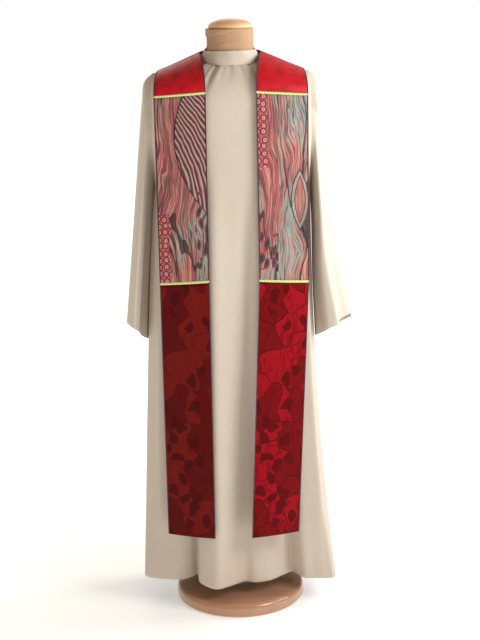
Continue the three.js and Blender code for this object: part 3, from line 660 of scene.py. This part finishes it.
def piping_material():
    """Lime cord wrapped with white thread."""
    shader = Shader("piping_cord")
    here = shader.node("SeparateXYZ", {"Vector": shader.cloth_place()})
    turns = shader.times(here.outputs[0], 1 / 0.008)
    twist = shader.plus(turns, shader.times(here.outputs[1], 120))
    wrap = shader.math("FRACT", twist)
    tint = shader.ramp(wrap, [
        (0.0, linear(178, 205, 40)), (0.5, linear(196, 214, 62)), (0.62, linear(245, 246, 226)),
        (0.88, linear(245, 246, 226)), (1.0, linear(178, 205, 40)),
    ])
    return shader.finish(tint, 0.55, shader.bump(wrap, 0.3, 0.0004))


ALB = cloth_material("alb_weave", linear(219, 209, 196), linear(197, 182, 165))
LINEN = cloth_material("neck_linen", linear(200, 162, 130), linear(170, 132, 100), pitch=0.0013, rough=0.95)
SATIN = satin_material("red_satin", linear(158, 3, 11), linear(208, 10, 34))
LINING = satin_material("maroon_lining", linear(70, 8, 20), linear(96, 14, 28))
BINDING = cloth_material("dark_binding", linear(92, 34, 58), linear(62, 20, 40), pitch=0.0008, rough=0.7)
# The two tails are one damask in two copies: the left copy is darker, browner and lower in contrast with
# painted shade, the right copy is brighter with painted light.
DAMASK_PAINTED_SHADE_LEFT = damask_material(
    "red_damask_painted_shade_left", linear(74, 5, 7), linear(93, 10, 9), linear(118, 22, 15), linear(70, 6, 8), 0.4
)
DAMASK_PAINTED_LIGHT_RIGHT = damask_material(
    "red_damask_painted_light_right", linear(88, 4, 8), linear(122, 7, 13), linear(160, 10, 26), linear(84, 3, 8), 0.85
)
PRINT_LEFT = print_left()
PRINT_RIGHT = print_right()
PIPING = piping_material()
BASE_WOOD = wood_material("varnished_beech", linear(208, 160, 128), linear(172, 120, 88), 0.3, 0.9)
CAP_WOOD = wood_material("turned_beech", linear(252, 206, 160), linear(232, 176, 128), 0.45, 0.1)
STEEL = plain_material("brushed_steel", linear(196, 198, 202), 0.3, 1.0)
# Black plastic for the guide bush and clamp knob, also used for the black dots in the button holes, which are
# painted shade.
PLASTIC_AND_HOLE_SHADE = plain_material("black_plastic", linear(34, 35, 38), 0.45)
BOARD = wood_material("birch_ply", linear(214, 182, 138), linear(184, 148, 104), 0.7, 0.0)
THREAD_MATERIAL = plain_material("sewing_thread", linear(224, 212, 196), 0.7)
BUTTON = plain_material("shell_button", linear(238, 230, 214), 0.22)
TORSO = cloth_material("torso_jersey", linear(206, 192, 168), linear(184, 168, 142), pitch=0.0014)


# ---- Alb -------------------------------------------------------------------------------------


PANEL_ROWS = 240


def build_panel(node, facing, low, high, cols):
    """A body panel of the alb, from low to high across. Its rows crowd in where it bends."""
    s = np.concatenate([
        np.linspace(0, CAP_SHARE, PANEL_ROWS // 3, endpoint=False),
        np.linspace(CAP_SHARE, CHEST_SHARE, PANEL_ROWS // 6, endpoint=False),
        np.linspace(CHEST_SHARE, 1, PANEL_ROWS // 2),
    ])
    q = np.linspace(low, high, cols)
    if facing > 0:
        q = q[::-1]
    q_grid, s_grid = np.meshgrid(q, s)
    piece = grid(f"{node}_cloth", alb_body(s_grid, q_grid, facing))
    finish_piece(piece, "alb", ALB, [node])


def build_alb():
    build_panel("alb_front", -1, -1, 1, 201)
    build_panel("alb_back_left", 1, -1, 0, 101)
    build_panel("alb_back_right", 1, 0, 1, 101)


COLLAR_TAPER = 0.0076, 0.0104  # how far the collar closes in at its top, in front and at the side
COLLAR_BULGE, COLLAR_CLOTH = 0.0020, 0.0024


def back_body(s, q):
    return alb_body(s, q, 1)


def back_place(rows, x):
    """The place across, from -1 to 1, that lies at distance x from the middle in each row."""
    dense = np.linspace(-0.2, 0.2, 21)
    q, s = np.meshgrid(dense, rows)
    lying = back_body(s, q)[..., 0]
    return np.stack([np.interp(x, line, dense) for line in lying])


def back_strip(name, rows, x, lift, thick, stands_for=()):
    """A strip of cloth down the middle of the back, as wide as the distances in x."""
    s = np.repeat(rows[:, None], len(x), axis=1)
    points = off_surface(back_body, lift, s, back_place(rows, x), flip=True)
    finish_piece(grid(name, points, thick=thick), "alb", ALB, stands_for)


PLACKET_LIFT, PLACKET_CLOTH = 0.0016, 0.0014
PLACKET_STITCH_LIFT = 0.0025
PLACKET_STITCHES = {"left": 0.88, "right": 0.12}  # places across the placket
BACK_SEAM_WIDTH, BACK_SEAM_LIFT, BACK_SEAM_CLOTH = 0.009, 0.0010, 0.0008


def build_placket():
    """The strip behind the back opening, stitched along both sides, and the centre seam below it."""
    low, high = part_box("back_placket")
    dense = np.linspace(0, CHEST_SHARE, 400)
    falls = back_body(dense, 0 * dense)[:, 2]
    top, bottom = np.interp([high[2], low[2]], falls[::-1], dense[::-1])
    rows = np.linspace(max(top, 0.004), bottom, 60)
    x = np.linspace(high[0], low[0], 17)
    back_strip("back_placket_cloth", rows, x, PLACKET_LIFT, PLACKET_CLOTH, ["back_placket"])
    for name, place in PLACKET_STITCHES.items():
        across = back_place(rows, np.array([lerp(high[0], low[0], place)]))[:, 0]
        line = off_surface(back_body, PLACKET_STITCH_LIFT, rows, across, flip=True)
        sew_to_alb(stitch_line(f"placket_stitches_{name}", line))
    rows = np.linspace(bottom + 0.001, 1, 160)
    x = np.linspace(BACK_SEAM_WIDTH, -BACK_SEAM_WIDTH, 7) / 2
    back_strip("alb_back_seam_cloth", rows, x, BACK_SEAM_LIFT, BACK_SEAM_CLOTH)


def turned_about_y(centre, profile, count):
    """Rings of count points about a line along Y, from a profile of radius and rise."""
    ring = np.linspace(0, 2 * math.pi, count)
    reach, rise = np.array(profile).T[..., None]
    return np.stack([
        centre[0] + reach * np.cos(ring), centre[1] + rise + 0 * ring, centre[2] + reach * np.sin(ring),
    ], -1)


def build_button(number):
    """A four-hole button with a raised rim, sewn on with crossed thread. Its holes are black dots on the
    shell, painted shade where no hole is cut.
    """
    low, high = (np.array(corner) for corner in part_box(f"back_button_{number}"))
    middle, radius = (low + high) / 2, (high[0] - low[0]) / 2
    thick = high[1] - low[1]
    profile = [(1e-4, 0), (radius * 0.8, 0), (radius * 0.96, thick * 0.22), (radius, thick * 0.55)]
    profile += arc(radius * 0.9, thick * 0.62, radius * 0.1, thick * 0.38, 0, 150, 9)
    profile += [(radius * 0.72, thick * 0.62), (radius * 0.6, thick * 0.5), (1e-4, thick * 0.46)]
    points = turned_about_y((middle[0], low[1], middle[2]), profile, 49)
    button = grid(f"back_button_{number}_shell", points[:, ::-1], wrap=True, thick=0)
    finish_piece(button, "alb", BUTTON, [f"back_button_{number}"])
    gap, top = radius * 0.26, low[1] + thick * 0.5
    holes = [middle + np.array([i * gap, 0, j * gap]) for i in (-1, 1) for j in (-1, 1)]
    hole_shade_profile = [
        (radius * 0.15, 0.0), (radius * 0.13, radius * 0.065), (radius * 0.10, radius * 0.01), (1e-5, -9e-5),
    ]
    # Black dots over the holes: painted shade down each hole.
    for k, hole in enumerate(holes):
        hole[1] = top
        points = turned_about_y(hole, hole_shade_profile, 17)
        hole_shade = grid(f"button_{number}_hole_{k + 1}", points, wrap=True, thick=0)
        finish_piece(hole_shade, "alb", PLASTIC_AND_HOLE_SHADE)
    for k, (a, b) in enumerate(((0, 3), (1, 2))):
        t = np.linspace(0, 1, 24)[:, None]
        path = lerp(holes[a], holes[b], t)
        path[:, 1] += 0.0005 * np.sin(math.pi * t[:, 0]) + 0.0001 * (k + 1)
        thread = tube(f"button_{number}_thread_{k + 1}", path, 0.0003)
        finish_piece(thread, "alb", THREAD_MATERIAL)


def tube(name, path, radius, sides=8):
    """A round thread along a path that doesn't run along Y."""
    run = unit(np.gradient(path, axis=0))
    side = unit(np.cross(run, [0.0, 1.0, 0.0]))
    up = np.cross(side, run)
    turn = np.linspace(0, 2 * math.pi, sides + 1)[None, :, None]
    points = path[:, None] + radius * (np.cos(turn) * side[:, None] + np.sin(turn) * up[:, None])
    return grid(name, points, wrap=True, thick=0)


def build_collar():
    turn, s = unit_grid(181, 41)
    angle = turn * 2 * math.pi
    far = np.where(np.cos(angle) > 0, COLLAR_HEIGHT_FRONT, COLLAR_HEIGHT_BACK)
    height = lerp(far, COLLAR_HEIGHT_SIDE, np.abs(np.sin(angle)) ** 4)
    taper = lerp(*COLLAR_TAPER, np.abs(np.sin(angle)) ** 2)
    bulge = COLLAR_BULGE * np.sin(math.pi * s) - 0.0011 * ridge(s, 0.76, 0.018) - 0.001 * ridge(s, 0.06, 0.03)
    wave = 0.0007 * s * np.sin(3 * angle + 0.6) + 0.0004 * np.sin(11 * angle + 2 * s)
    out = bulge + wave + 0.0006 - taper * smooth(s * 0.9) ** 0.8
    points = neckline(turn, COLLAR_HALF + out, COLLAR_DEPTH + out)
    points[..., 2] += s * height + 0.0004 + 0.0010 * s * np.sin(2 * angle + 1)
    piece = grid("alb_collar_cloth", points, wrap=True, thick=COLLAR_CLOTH)
    finish_piece(piece, "alb", ALB, ["alb_collar"])


# Lines of each sleeve at the middle of its thickness: distance from the body's middle, and height.
SLEEVE_OVER = {
    "left": [
        (0.208, 1.4807), (0.229, 1.458), (0.236, 1.413), (0.254, 1.24), (0.274, 1.041), (0.299, 0.804),
    ],
    "right": [
        (0.208, 1.4807), (0.228, 1.458), (0.234, 1.413), (0.250, 1.24), (0.270, 1.037), (0.320, 0.810),
    ],
}
SLEEVE_UNDER = {
    "left": [(0.208, 1.18), (0.2185, 1.08), (0.2325, 0.92), (0.2415, 0.765)],
    "right": [(0.208, 1.18), (0.2112, 1.08), (0.2138, 0.92), (0.2200, 0.759)],
}
CUFF_DEPTH = 0.078
CUFF_TILT = 0.255  # the cuff hangs lower at the back than at the front
CUFF_STEP = {"left": (0.32, -0.013), "right": (0.60, 0.006)}  # where a fold ends the front of the cuff


CUFF_STITCHES = 0.955  # place along the sleeve
CUFF_TUCK = 0.021  # how far the front of the cuff sinks in behind its fold
SLEEVE_FOLD, SLEEVE_RIPPLE = 0.0055, 0.0022  # depth of the broad folds and of the fine ones
SLEEVE_PHASE = {"left": 0.8, "right": 2.2}  # radians: where the broad folds lie round the sleeve
STITCH_LIFT = 0.0008


def sleeve_point(side, s, turn):
    """s is 0 at the armhole and 1 at the cuff. turn is 0 along the top, a half along the under side."""
    sign = SIGN[side]
    over, under = spline(SLEEVE_OVER[side], s), spline(SLEEVE_UNDER[side], s)
    angle = turn * 2 * math.pi
    across = (1 + np.cos(angle)) / 2
    place = lerp(under, over, across[..., None])
    seam = trunk(np.linspace(CHEST_SHARE, 0, 200), np.ones(200), 1)
    seam_height = lerp(UNDERARM, shoulder_height(SEAM_HALF), across)
    armhole = np.interp(seam_height, seam[:, 2], seam[:, 1]) * np.sign(np.sin(angle))
    cuff = CUFF_DEPTH * np.sin(angle)
    y = lerp(armhole, cuff, smooth(s * 1.6))
    x, z = place[..., 0].copy(), place[..., 1].copy()
    grow = smooth(s * 1.8)
    fold = SLEEVE_FOLD * np.sin(4 * angle + SLEEVE_PHASE[side]) * grow
    fold += SLEEVE_RIPPLE * np.sin(9 * angle + 1.3) * grow * s
    x -= 0.0016 * (1 - smooth(s / 0.015))
    y += fold * np.sin(angle)
    x += 0.35 * fold * np.cos(angle) * (1 - np.abs(np.cos(angle)) ** 3)
    z -= CUFF_TILT * y * smooth((s - 0.35) / 0.65)
    front = np.clip(-np.sin(angle) * 4, 0, 1)
    edge, lift = CUFF_STEP[side]
    if sign < 0:
        behind = 1 - smooth((across - edge + 0.05) / 0.08)
    else:
        behind = smooth((across - edge + 0.03) / 0.07)
    y += CUFF_TUCK * behind * front * smooth((s - 0.12) / 0.5)
    z += lift * behind * front * smooth((s - 0.7) / 0.3)
    return np.stack([sign * x, y, z], -1)


def blend_sleeve(piece):
    """Bakes the sleeve's placement into its mesh."""
    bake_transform(piece)


def build_sleeve(side):
    turn, s = unit_grid(181, 150)
    points = sleeve_point(side, s, turn)
    if side == "right":
        points = points[:, ::-1]
    piece = grid(f"alb_sleeve_{side}_cloth", points, wrap=True)
    piece.data.materials.append(ALB)
    blend_sleeve(piece)
    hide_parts(f"alb_sleeve_{side}")
    turns = np.linspace(0, 1, 400)
    line = off_surface(
        lambda a, b: sleeve_point(side, a, b), -SIGN[side] * STITCH_LIFT, turns * 0 + CUFF_STITCHES, turns
    )
    blend_sleeve(stitch_line(f"cuff_stitches_{side}", line))


# ---- Stitching -------------------------------------------------------------------------------

STITCH_PITCH, STITCH_LENGTH, THREAD = 0.0030, 0.0021, 0.00035


def stitch_line(name, line):
    """Raised stitches along a line of points."""
    steps = np.linalg.norm(np.diff(line, axis=0), axis=1)
    along = np.concatenate([[0], np.cumsum(steps)])
    count = int(along[-1] / STITCH_PITCH)
    middle = (np.arange(count) + 0.5) * STITCH_PITCH
    ends = [np.stack([np.interp(middle + shift, along, line[:, i]) for i in range(3)], -1)
            for shift in (-STITCH_LENGTH / 2, STITCH_LENGTH / 2)]
    run = unit(ends[1] - ends[0])
    up = np.array([0.0, 0.0, 1.0]) - run * run[:, 2:]
    up /= np.maximum(np.linalg.norm(up, axis=1, keepdims=True), 1e-6)
    out = np.cross(run, up)
    centre = (ends[0] + ends[1]) / 2
    ring = [centre + THREAD * (math.cos(a) * up + math.sin(a) * out) for a in np.arange(6) * math.pi / 3]
    points = np.stack([ends[0], ends[1], *ring], 1).reshape(-1, 3)
    faces = []
    for k in range(count):
        base = k * 8
        for i in range(6):
            here, after = base + 2 + i, base + 2 + (i + 1) % 6
            faces += [(base, here, after), (base + 1, after, here)]
    mesh = bpy.data.meshes.new(name)
    mesh.from_pydata(points.tolist(), [], faces)
    mesh.shade_smooth()
    piece = new_object(name, mesh)
    piece.data.materials.append(THREAD_MATERIAL)
    return piece


def sew_to_alb(stitches):
    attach(stitches, "alb")


def build_hem_stitches():
    """Lines of stitches that hold the turned-up hem, in front and behind."""
    s_hem = CHEST_SHARE + (1 - CHEST_SHARE) * (UNDERARM - HEM_LEVEL - HEM_FOLD) / (UNDERARM - HEM_LEVEL)
    for name, facing, reach in (("front", -1, 1), ("back", 1, 0.99)):
        q = np.linspace(-reach, reach, 900)
        line = off_surface(lambda a, b: alb_body(a, b, facing), -facing * STITCH_LIFT, q * 0 + s_hem, q)
        sew_to_alb(stitch_line(f"hem_stitches_{name}", line))


# ---- Stole -----------------------------------------------------------------------------------

STATIONS = ("ridge", "upper", "lower", "end")
INNER = {"ridge": 0.079, "upper": 0.065, "lower": 0.066, "end": 0.065}
OUTER = {"ridge": 0.192, "upper": 0.199, "lower": 0.197, "end": 0.194}
AHEAD = {"upper": 0.118, "lower": 0.138, "end": 0.170}
TURN = {"upper": 0.026, "lower": 0.026, "end": 0.042}
DROP = {"upper": 0.01, "lower": 0.01, "end": 0.0}
LEVEL = {"upper": UPPER_PIPING, "lower": LOWER_PIPING, "end": STOLE_END}
DRIFT = {"left": 0.0, "right": 0.03}
YOKE_LENGTH, STRIP_WIDTH, BINDING_WIDTH = 0.15, 0.13, 0.0024
YOKE_ROUND = 0.78  # how high the yoke's curve over the shoulder is drawn up
STRIP_CROWN = 0.004  # how far a strip bulges forwards along its middle
STRIP_START = 0.004  # first place along a strip, just clear of the shoulder seam
BINDING_OVER = 0.004  # share of the strip's width that a binding reaches past its edge
# Height over the strip's under surface, and thickness.
FACE_LIFT, FACE_CLOTH = 0.0020, 0.0014
LINING_LIFT, LINING_CLOTH = 0.0005, 0.0007
BINDING_LIFT, BINDING_CLOTH = 0.0029, 0.0006
PIPING_SWELL, PIPING_CLOTH = 0.0022, 0.001


def strip_corner(side, station, edge):
    sign = SIGN[side]
    away = (INNER if edge == "inner" else OUTER)[station]
    if station == "ridge":
        lift = STOLE_LIFT - STOLE_THICK if edge == "inner" else STOLE_FOOT
        return np.array([sign * away, 0, shoulder_height(away) + lift])
    if station == "end":
        away -= DRIFT[side]
    turned = TURN[station] if edge == "outer" else 0
    drop = DROP[station] if edge == "outer" else 0
    return np.array([sign * away, -AHEAD[station] + turned, LEVEL[station] - drop])


def strip_edge(side, edge, s):
    """A point of one edge: s is 0 at the shoulder, 1 and 2 at the pipings, 3 at the end."""
    ridge_at, upper, lower, end = (strip_corner(side, k, edge) for k in STATIONS)
    control = upper.copy()
    control[2] = lerp(upper[2], ridge_at[2], YOKE_ROUND)
    t = np.clip(s, 0, 1)[..., None]
    yoke = ridge_at * (1 - t) ** 2 + control * 2 * t * (1 - t) + upper * t**2
    body = lerp(upper, lower, np.clip(s - 1, 0, 1)[..., None])
    tail = lerp(lower, end, np.clip(s - 2, 0, 1)[..., None])
    return np.where((s <= 1)[..., None], yoke, np.where((s <= 2)[..., None], body, tail))


def strip(side, s, t):
    """The under surface of a strip. t is 0 at its inner edge and 1 at its outer edge."""
    point = lerp(strip_edge(side, "inner", s), strip_edge(side, "outer", s), t[..., None])
    point[..., 1] -= STRIP_CROWN * np.sin(math.pi * t) * smooth(s)
    return point


# Half a piping's width, as a share of the yoke, the printed panel and the tail.
YOKE_SHARE = PIPING_WIDTH / 2 / YOKE_LENGTH
PRINT_SHARE = PIPING_WIDTH / 2 / (UPPER_PIPING - LOWER_PIPING)
TAIL_SHARE = PIPING_WIDTH / 2 / (LOWER_PIPING - STOLE_END)


def strip_points(side, low, high, rows, cols, distance, span=(0, 1)):
    """Rows of points on a strip, its columns running from left to right."""
    t = np.linspace(*span, cols)
    if side == "left":
        t = t[::-1]
    t_grid, s_grid = np.meshgrid(t, np.linspace(low, high, rows))
    return off_surface(lambda s, t: strip(side, s, t), distance, s_grid, t_grid, flip=side == "left")


def build_strip(side):
    # The left tail takes the damask copy with painted shade, the right tail the copy with painted light.
    damask = DAMASK_PAINTED_SHADE_LEFT if side == "left" else DAMASK_PAINTED_LIGHT_RIGHT
    printed = PRINT_LEFT if side == "left" else PRINT_RIGHT
    parts = [
        ("stole_yoke", STRIP_START, 1 - YOKE_SHARE, 40, SATIN, "red_satin"),
        ("stole_print", 1 + PRINT_SHARE, 2 - PRINT_SHARE, 60, printed, "printed_cloth"),
        ("stole_tail", 2 + TAIL_SHARE, 3, 80, damask, "red_damask"),
    ]
    for name, low, high, rows, material, slot in parts:
        points = strip_points(side, low, high, rows, 25, FACE_LIFT)
        piece = grid(f"{name}_{side}_cloth", points, thick=FACE_CLOTH)
        finish_piece(piece, "stole", material, [f"{name}_{side}"])
    points = strip_points(side, STRIP_START, 3, 150, 25, LINING_LIFT)
    lining = grid(f"stole_lining_{side}_cloth", points, thick=LINING_CLOTH)
    finish_piece(lining, "stole", LINING, [f"stole_lining_{side}"])
    share = BINDING_WIDTH / STRIP_WIDTH
    spans = {"inner": (-BINDING_OVER, share), "outer": (1 - share, 1 + BINDING_OVER)}
    for edge, span in spans.items():
        points = strip_points(side, STRIP_START, 3, 150, 5, BINDING_LIFT, span)
        piece = grid(f"stole_binding_{edge}_{side}_cloth", points, thick=BINDING_CLOTH)
        finish_piece(piece, "stole", BINDING)
    for place, middle, over, under in (
        ("upper", 1, YOKE_SHARE, PRINT_SHARE), ("lower", 2, PRINT_SHARE, TAIL_SHARE),
    ):
        points = strip_points(side, middle - over, middle + under, 9, 90, FACE_LIFT)
        points[..., 1] -= PIPING_SWELL * np.sin(np.linspace(0, math.pi, 9))[:, None]
        piece = grid(f"piping_{place}_{side}_cord", points, thick=PIPING_CLOTH)
        finish_piece(piece, "stole", PIPING, [f"piping_{place}_{side}"])


def nape_points(rows, cols, distance):
    """The band behind the neck, from shoulder to shoulder over the alb's back."""
    t, s = unit_grid(cols, rows)
    angle = lerp(math.pi, 0, t)
    outwards = 1 - s

    def ridge_q(x):
        return 0.5 + 0.5 * (x - COLLAR_HALF) / (SEAM_HALF - COLLAR_HALF)

    q = lerp(ridge_q(INNER["ridge"]), ridge_q(OUTER["ridge"]), outwards) * np.cos(angle)
    along = lerp(STRIP_START, NAPE_REACH, outwards * np.sin(angle))
    stand = lerp(STOLE_LIFT - STOLE_THICK, NAPE_CLEAR * np.sin(angle), outwards) + STOLE_FOOT + distance
    return off_surface(lambda a, b: trunk(a, b, 1), stand[..., None], along, q, flip=True)


SHOULDER_SEAM_RADIUS = 0.0019


def build_shoulder_seams():
    """A corded seam joins each yoke to the nape along the shoulder."""
    for side in ("left", "right"):
        t = np.linspace(0.01, 0.99, 40)
        path = strip(side, 0 * t, t)
        path[:, 1] += 0.0008
        path[:, 2] += 0.0014
        seam = tube(f"stole_shoulder_seam_{side}", path, SHOULDER_SEAM_RADIUS, 12)
        finish_piece(seam, "stole", SATIN)


def build_nape():
    piece = grid("stole_nape_cloth", nape_points(40, 121, STOLE_THICK / 2), thick=STOLE_THICK * 0.8)
    finish_piece(piece, "stole", SATIN, ["stole_nape"])


# ---- Form ------------------------------------------------------------------------------------


def lathe(name, profile, segments=144):
    """A turned piece from radius and height points, with smooth sides."""
    ring = np.linspace(0, 2 * math.pi, segments + 1)
    profile = np.array(profile)
    points = np.stack([
        profile[:, :1] * np.cos(ring), profile[:, :1] * np.sin(ring), profile[:, 1:] + 0 * ring,
    ], -1)
    return grid(name, points, wrap=True, thick=0)


def arc(centre_r, centre_z, radius_r, radius_z, start, end, count):
    angle = np.radians(np.linspace(start, end, count))
    return [(centre_r + radius_r * math.cos(a), centre_z + radius_z * math.sin(a)) for a in angle]


def build_base():
    profile = [(1e-4, 0.0), (BASE_RADIUS - 0.006, 0.0)]
    profile += arc(BASE_RADIUS - 0.006, 0.006, 0.006, 0.006, -90, 0, 5)
    profile += arc(BASE_RADIUS - 0.015, 0.022, 0.015, 0.014, 0, 80, 12)
    crown = [(0.15, 0.0025), (0.11, 0.0012), (0.06, 0.0003), (1e-4, 0.0)]  # radius, and fall from the top
    profile += [(radius, BASE_HEIGHT - fall) for radius, fall in crown]
    base = lathe("base_disc_wood", profile)
    finish_piece(base, "stand", BASE_WOOD, ["base_disc"])


TORSO_SEAM_REACH, TORSO_SEAM_RADIUS = 0.075, 0.0013
WAIST_SHARE, WAIST_DRAW = 0.36, 0.22  # place of the waist up the torso, and how far seams close in there


def build_torso_seams():
    """Raised seams on the jersey cover of the torso: one down the middle, and two shaped ones."""
    for node, facing in (("torso_front", -1), ("torso_back", 1)):
        shell = BVHTree.FromObject(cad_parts[node], bpy.context.evaluated_depsgraph_get())
        low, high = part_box(node)
        heights = np.linspace(low[2] + 0.004, high[2] - 0.035, 120)
        for label, spread in (("middle", 0.0), ("left", -1.0), ("right", 1.0)):
            path = []
            for z in heights:
                waist = 1 - WAIST_DRAW * float(ridge(z, lerp(low[2], high[2], WAIST_SHARE), 0.12))
                start = Vector((spread * TORSO_SEAM_REACH * waist, facing, z))
                hit = shell.ray_cast(start, Vector((0, -facing, 0)))[0]
                if hit is not None:
                    path.append(hit)
            if len(path) > 20:
                seam = tube(f"{node}_seam_{label}", np.array(path), TORSO_SEAM_RADIUS, 10)
                finish_piece(seam, "form", TORSO)


def build_cap():
    foot = NECK_TOP + 0.0004
    profile = [(1e-4, foot), (CAP_RADIUS - 0.002, foot)]
    profile += arc(CAP_RADIUS - 0.004, foot + 0.0035, 0.004, 0.0035, -80, 0, 5)
    profile += arc(0, foot + 0.0055, CAP_RADIUS, CAP_TOP - foot - 0.0055, 2, 89.9, 22)
    cap = lathe("neck_cap_wood", profile)
    finish_piece(cap, "form", CAP_WOOD, ["neck_cap"])


NECK_WRINKLE, NECK_CLOTH = 0.0016, 0.0009


def build_neck_cover():
    """Linen drawn over the neck block, with a slanting crease under the cap."""
    turn, s = unit_grid(161, 50)
    angle = turn * 2 * math.pi
    low, high = NECKLINE_BACK + 0.002, NECK_TOP
    height = lerp(low, high, s)
    across = np.sin(angle) * NECK_RADIUS
    line = (height - (NECK_TOP - 0.012)) - 0.25 * (across + 0.03)
    reach = smooth((np.cos(angle) + 0.35) / 0.5) * smooth((0.045 - across) / 0.05)
    wrinkle = NECK_WRINKLE * (1 + np.tanh(line / 0.0012)) * reach
    wrinkle += 0.0010 * ridge(height - 0.16 * across, NECK_TOP - 0.036, 0.004) * reach
    wrinkle += 0.0006 * np.sin(3 * angle + 9 * s) * (1 - s)
    out = NECK_RADIUS + NECK_CLOTH + wrinkle
    points = np.stack([out * np.sin(angle), -out * np.cos(angle), height], -1)
    cover = grid("neck_cover_linen", points, wrap=True, thick=NECK_CLOTH)
    finish_piece(cover, "form", LINEN, ["neck_cover"])


STEEL_NODES = [
    "pole_flange", "flange_screw_1", "flange_screw_2", "flange_screw_3", "flange_screw_4",
    "outer_pole", "clamp_collar", "inner_pole", "mast_ring", "mast_socket",
]
EDGE = 0.0006
CAD_LOOKS = [  # material, width of its rounded edges, nodes
    (STEEL, EDGE, STEEL_NODES),
    (PLASTIC_AND_HOLE_SHADE, EDGE, ["guide_bush", "clamp_knob"]),
    (BOARD, EDGE, ["torso_bottom_board", "neck_block"]),
    (TORSO, 0.0, ["torso_front", "torso_back"]),
]


def dress_cad_nodes():
    for material, rounding, names in CAD_LOOKS:
        for name in names:
            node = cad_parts[name]
            node.data.materials.clear()
            node.data.materials.append(material)
            if rounding:
                edge = node.modifiers.new("rounded edges", "BEVEL")
                edge.limit_method = "ANGLE"
                edge.width, edge.segments = rounding, 2


# ---- Studio ----------------------------------------------------------------------------------


def area_light(name, place, aim, size, power, colour):
    data = bpy.data.lights.new(name, "AREA")
    data.shape = "RECTANGLE"
    data.size, data.size_y = size
    data.energy = power
    data.color = colour
    lamp = new_object(name, data)
    lamp.visible_camera = False
    lamp.location = place
    direction = np.array(aim, float) - np.array(place, float)
    lamp.rotation_euler = Vector(direction).to_track_quat("-Z", "Y").to_euler()


def floor_material():
    """Pale paper under the object that glows, dimly near the object and fully white further out, so that it
    fades into the white backdrop; its glow also lights the object from below.
    """
    shader = Shader("pale_floor")
    place = shader.node("TexCoord").outputs["Object"]
    far = shader.node("VectorMath", {0: place}, operation="LENGTH").outputs["Value"]
    glow = shader.ramp(shader.math("DIVIDE", far, 4.0), [
        (share, (grey, grey, grey)) for share, grey in ((0.0, 0.34), (0.1, 0.42), (0.5, 1.0), (1.0, 1.0))
    ])
    shader.put(shader.surface.inputs["Emission Strength"], glow)
    shader.surface.inputs["Emission Color"].default_value = (0.89, 0.96, 1.0, 1)
    return shader.finish(linear(246, 244, 241), 0.95, Specular_IOR_Level=0.1)


FLOOR_REACH = 9.0


def build_studio():
    mesh = bpy.data.meshes.new("floor")
    corners = [(x * FLOOR_REACH, y * FLOOR_REACH, 0) for x, y in ((-1, -1), (1, -1), (1, 1), (-1, 1))]
    mesh.from_pydata(corners, [], [(0, 1, 2, 3)])
    floor = new_object("floor", mesh)
    floor.data.materials.append(floor_material())
    build_world()
    area_light("window", (1.25, -0.86, 1.64), (0, 0, 1.05), (0.7, 1.0), 18, (0.97, 0.985, 1.0))
    area_light("side_light", (2.7, 0.75, 2.2), (0, 0, 1.2), (1.0, 1.6), 52, (0.98, 0.99, 1.0))
    area_light("back_fill", (-0.8, 3.4, 2.3), (0, 0, 0.9), (2.2, 2.2), 32, (1.0, 0.97, 0.93))
    bpy.context.scene.view_settings.view_transform = "Standard"


def build_world():
    """White behind the object, and a dimmer warm light from all round on it."""
    world = bpy.data.worlds.new("studio")
    bpy.context.scene.world = world
    world.use_nodes = True
    tree = world.node_tree
    seen = tree.nodes["Background"]
    seen.inputs["Color"].default_value = (1.0, 1.0, 1.0, 1)
    lit = tree.nodes.new("ShaderNodeBackground")
    lit.inputs["Color"].default_value = (1.0, 0.82, 0.62, 1)
    lit.inputs["Strength"].default_value = 0.40
    path = tree.nodes.new("ShaderNodeLightPath")
    both = tree.nodes.new("ShaderNodeMixShader")
    tree.links.new(path.outputs["Is Camera Ray"], both.inputs["Fac"])
    tree.links.new(lit.outputs[0], both.inputs[1])
    tree.links.new(seen.outputs[0], both.inputs[2])
    tree.links.new(both.outputs[0], tree.nodes["World Output"].inputs["Surface"])


CAMERA_PLACE = (0.0128, -3.746, 1.745)
CAMERA_TILT, CAMERA_ROLL = 14.07, -1.061  # degrees: down, and about the line of sight
FOCAL_LENGTH = 78.75


def build_camera():
    data = bpy.data.cameras.new("camera")
    data.lens = FOCAL_LENGTH
    data.sensor_width = 36
    data.sensor_fit = "AUTO"
    camera = new_object("camera", data)
    camera.location = CAMERA_PLACE
    aim = Matrix.Rotation(math.radians(90 - CAMERA_TILT), 4, "X")
    roll = Matrix.Rotation(math.radians(CAMERA_ROLL), 4, "Z")
    camera.rotation_euler = (aim @ roll).to_euler()
    bpy.context.scene.camera = camera


build_camera()
build_studio()
build_base()
build_cap()
build_neck_cover()
build_torso_seams()
build_alb()
build_collar()
build_placket()
for number in (1, 2, 3):
    build_button(number)
build_sleeve("left")
build_sleeve("right")
build_strip("left")
build_strip("right")
build_nape()
build_shoulder_seams()
build_hem_stitches()
dress_cad_nodes()
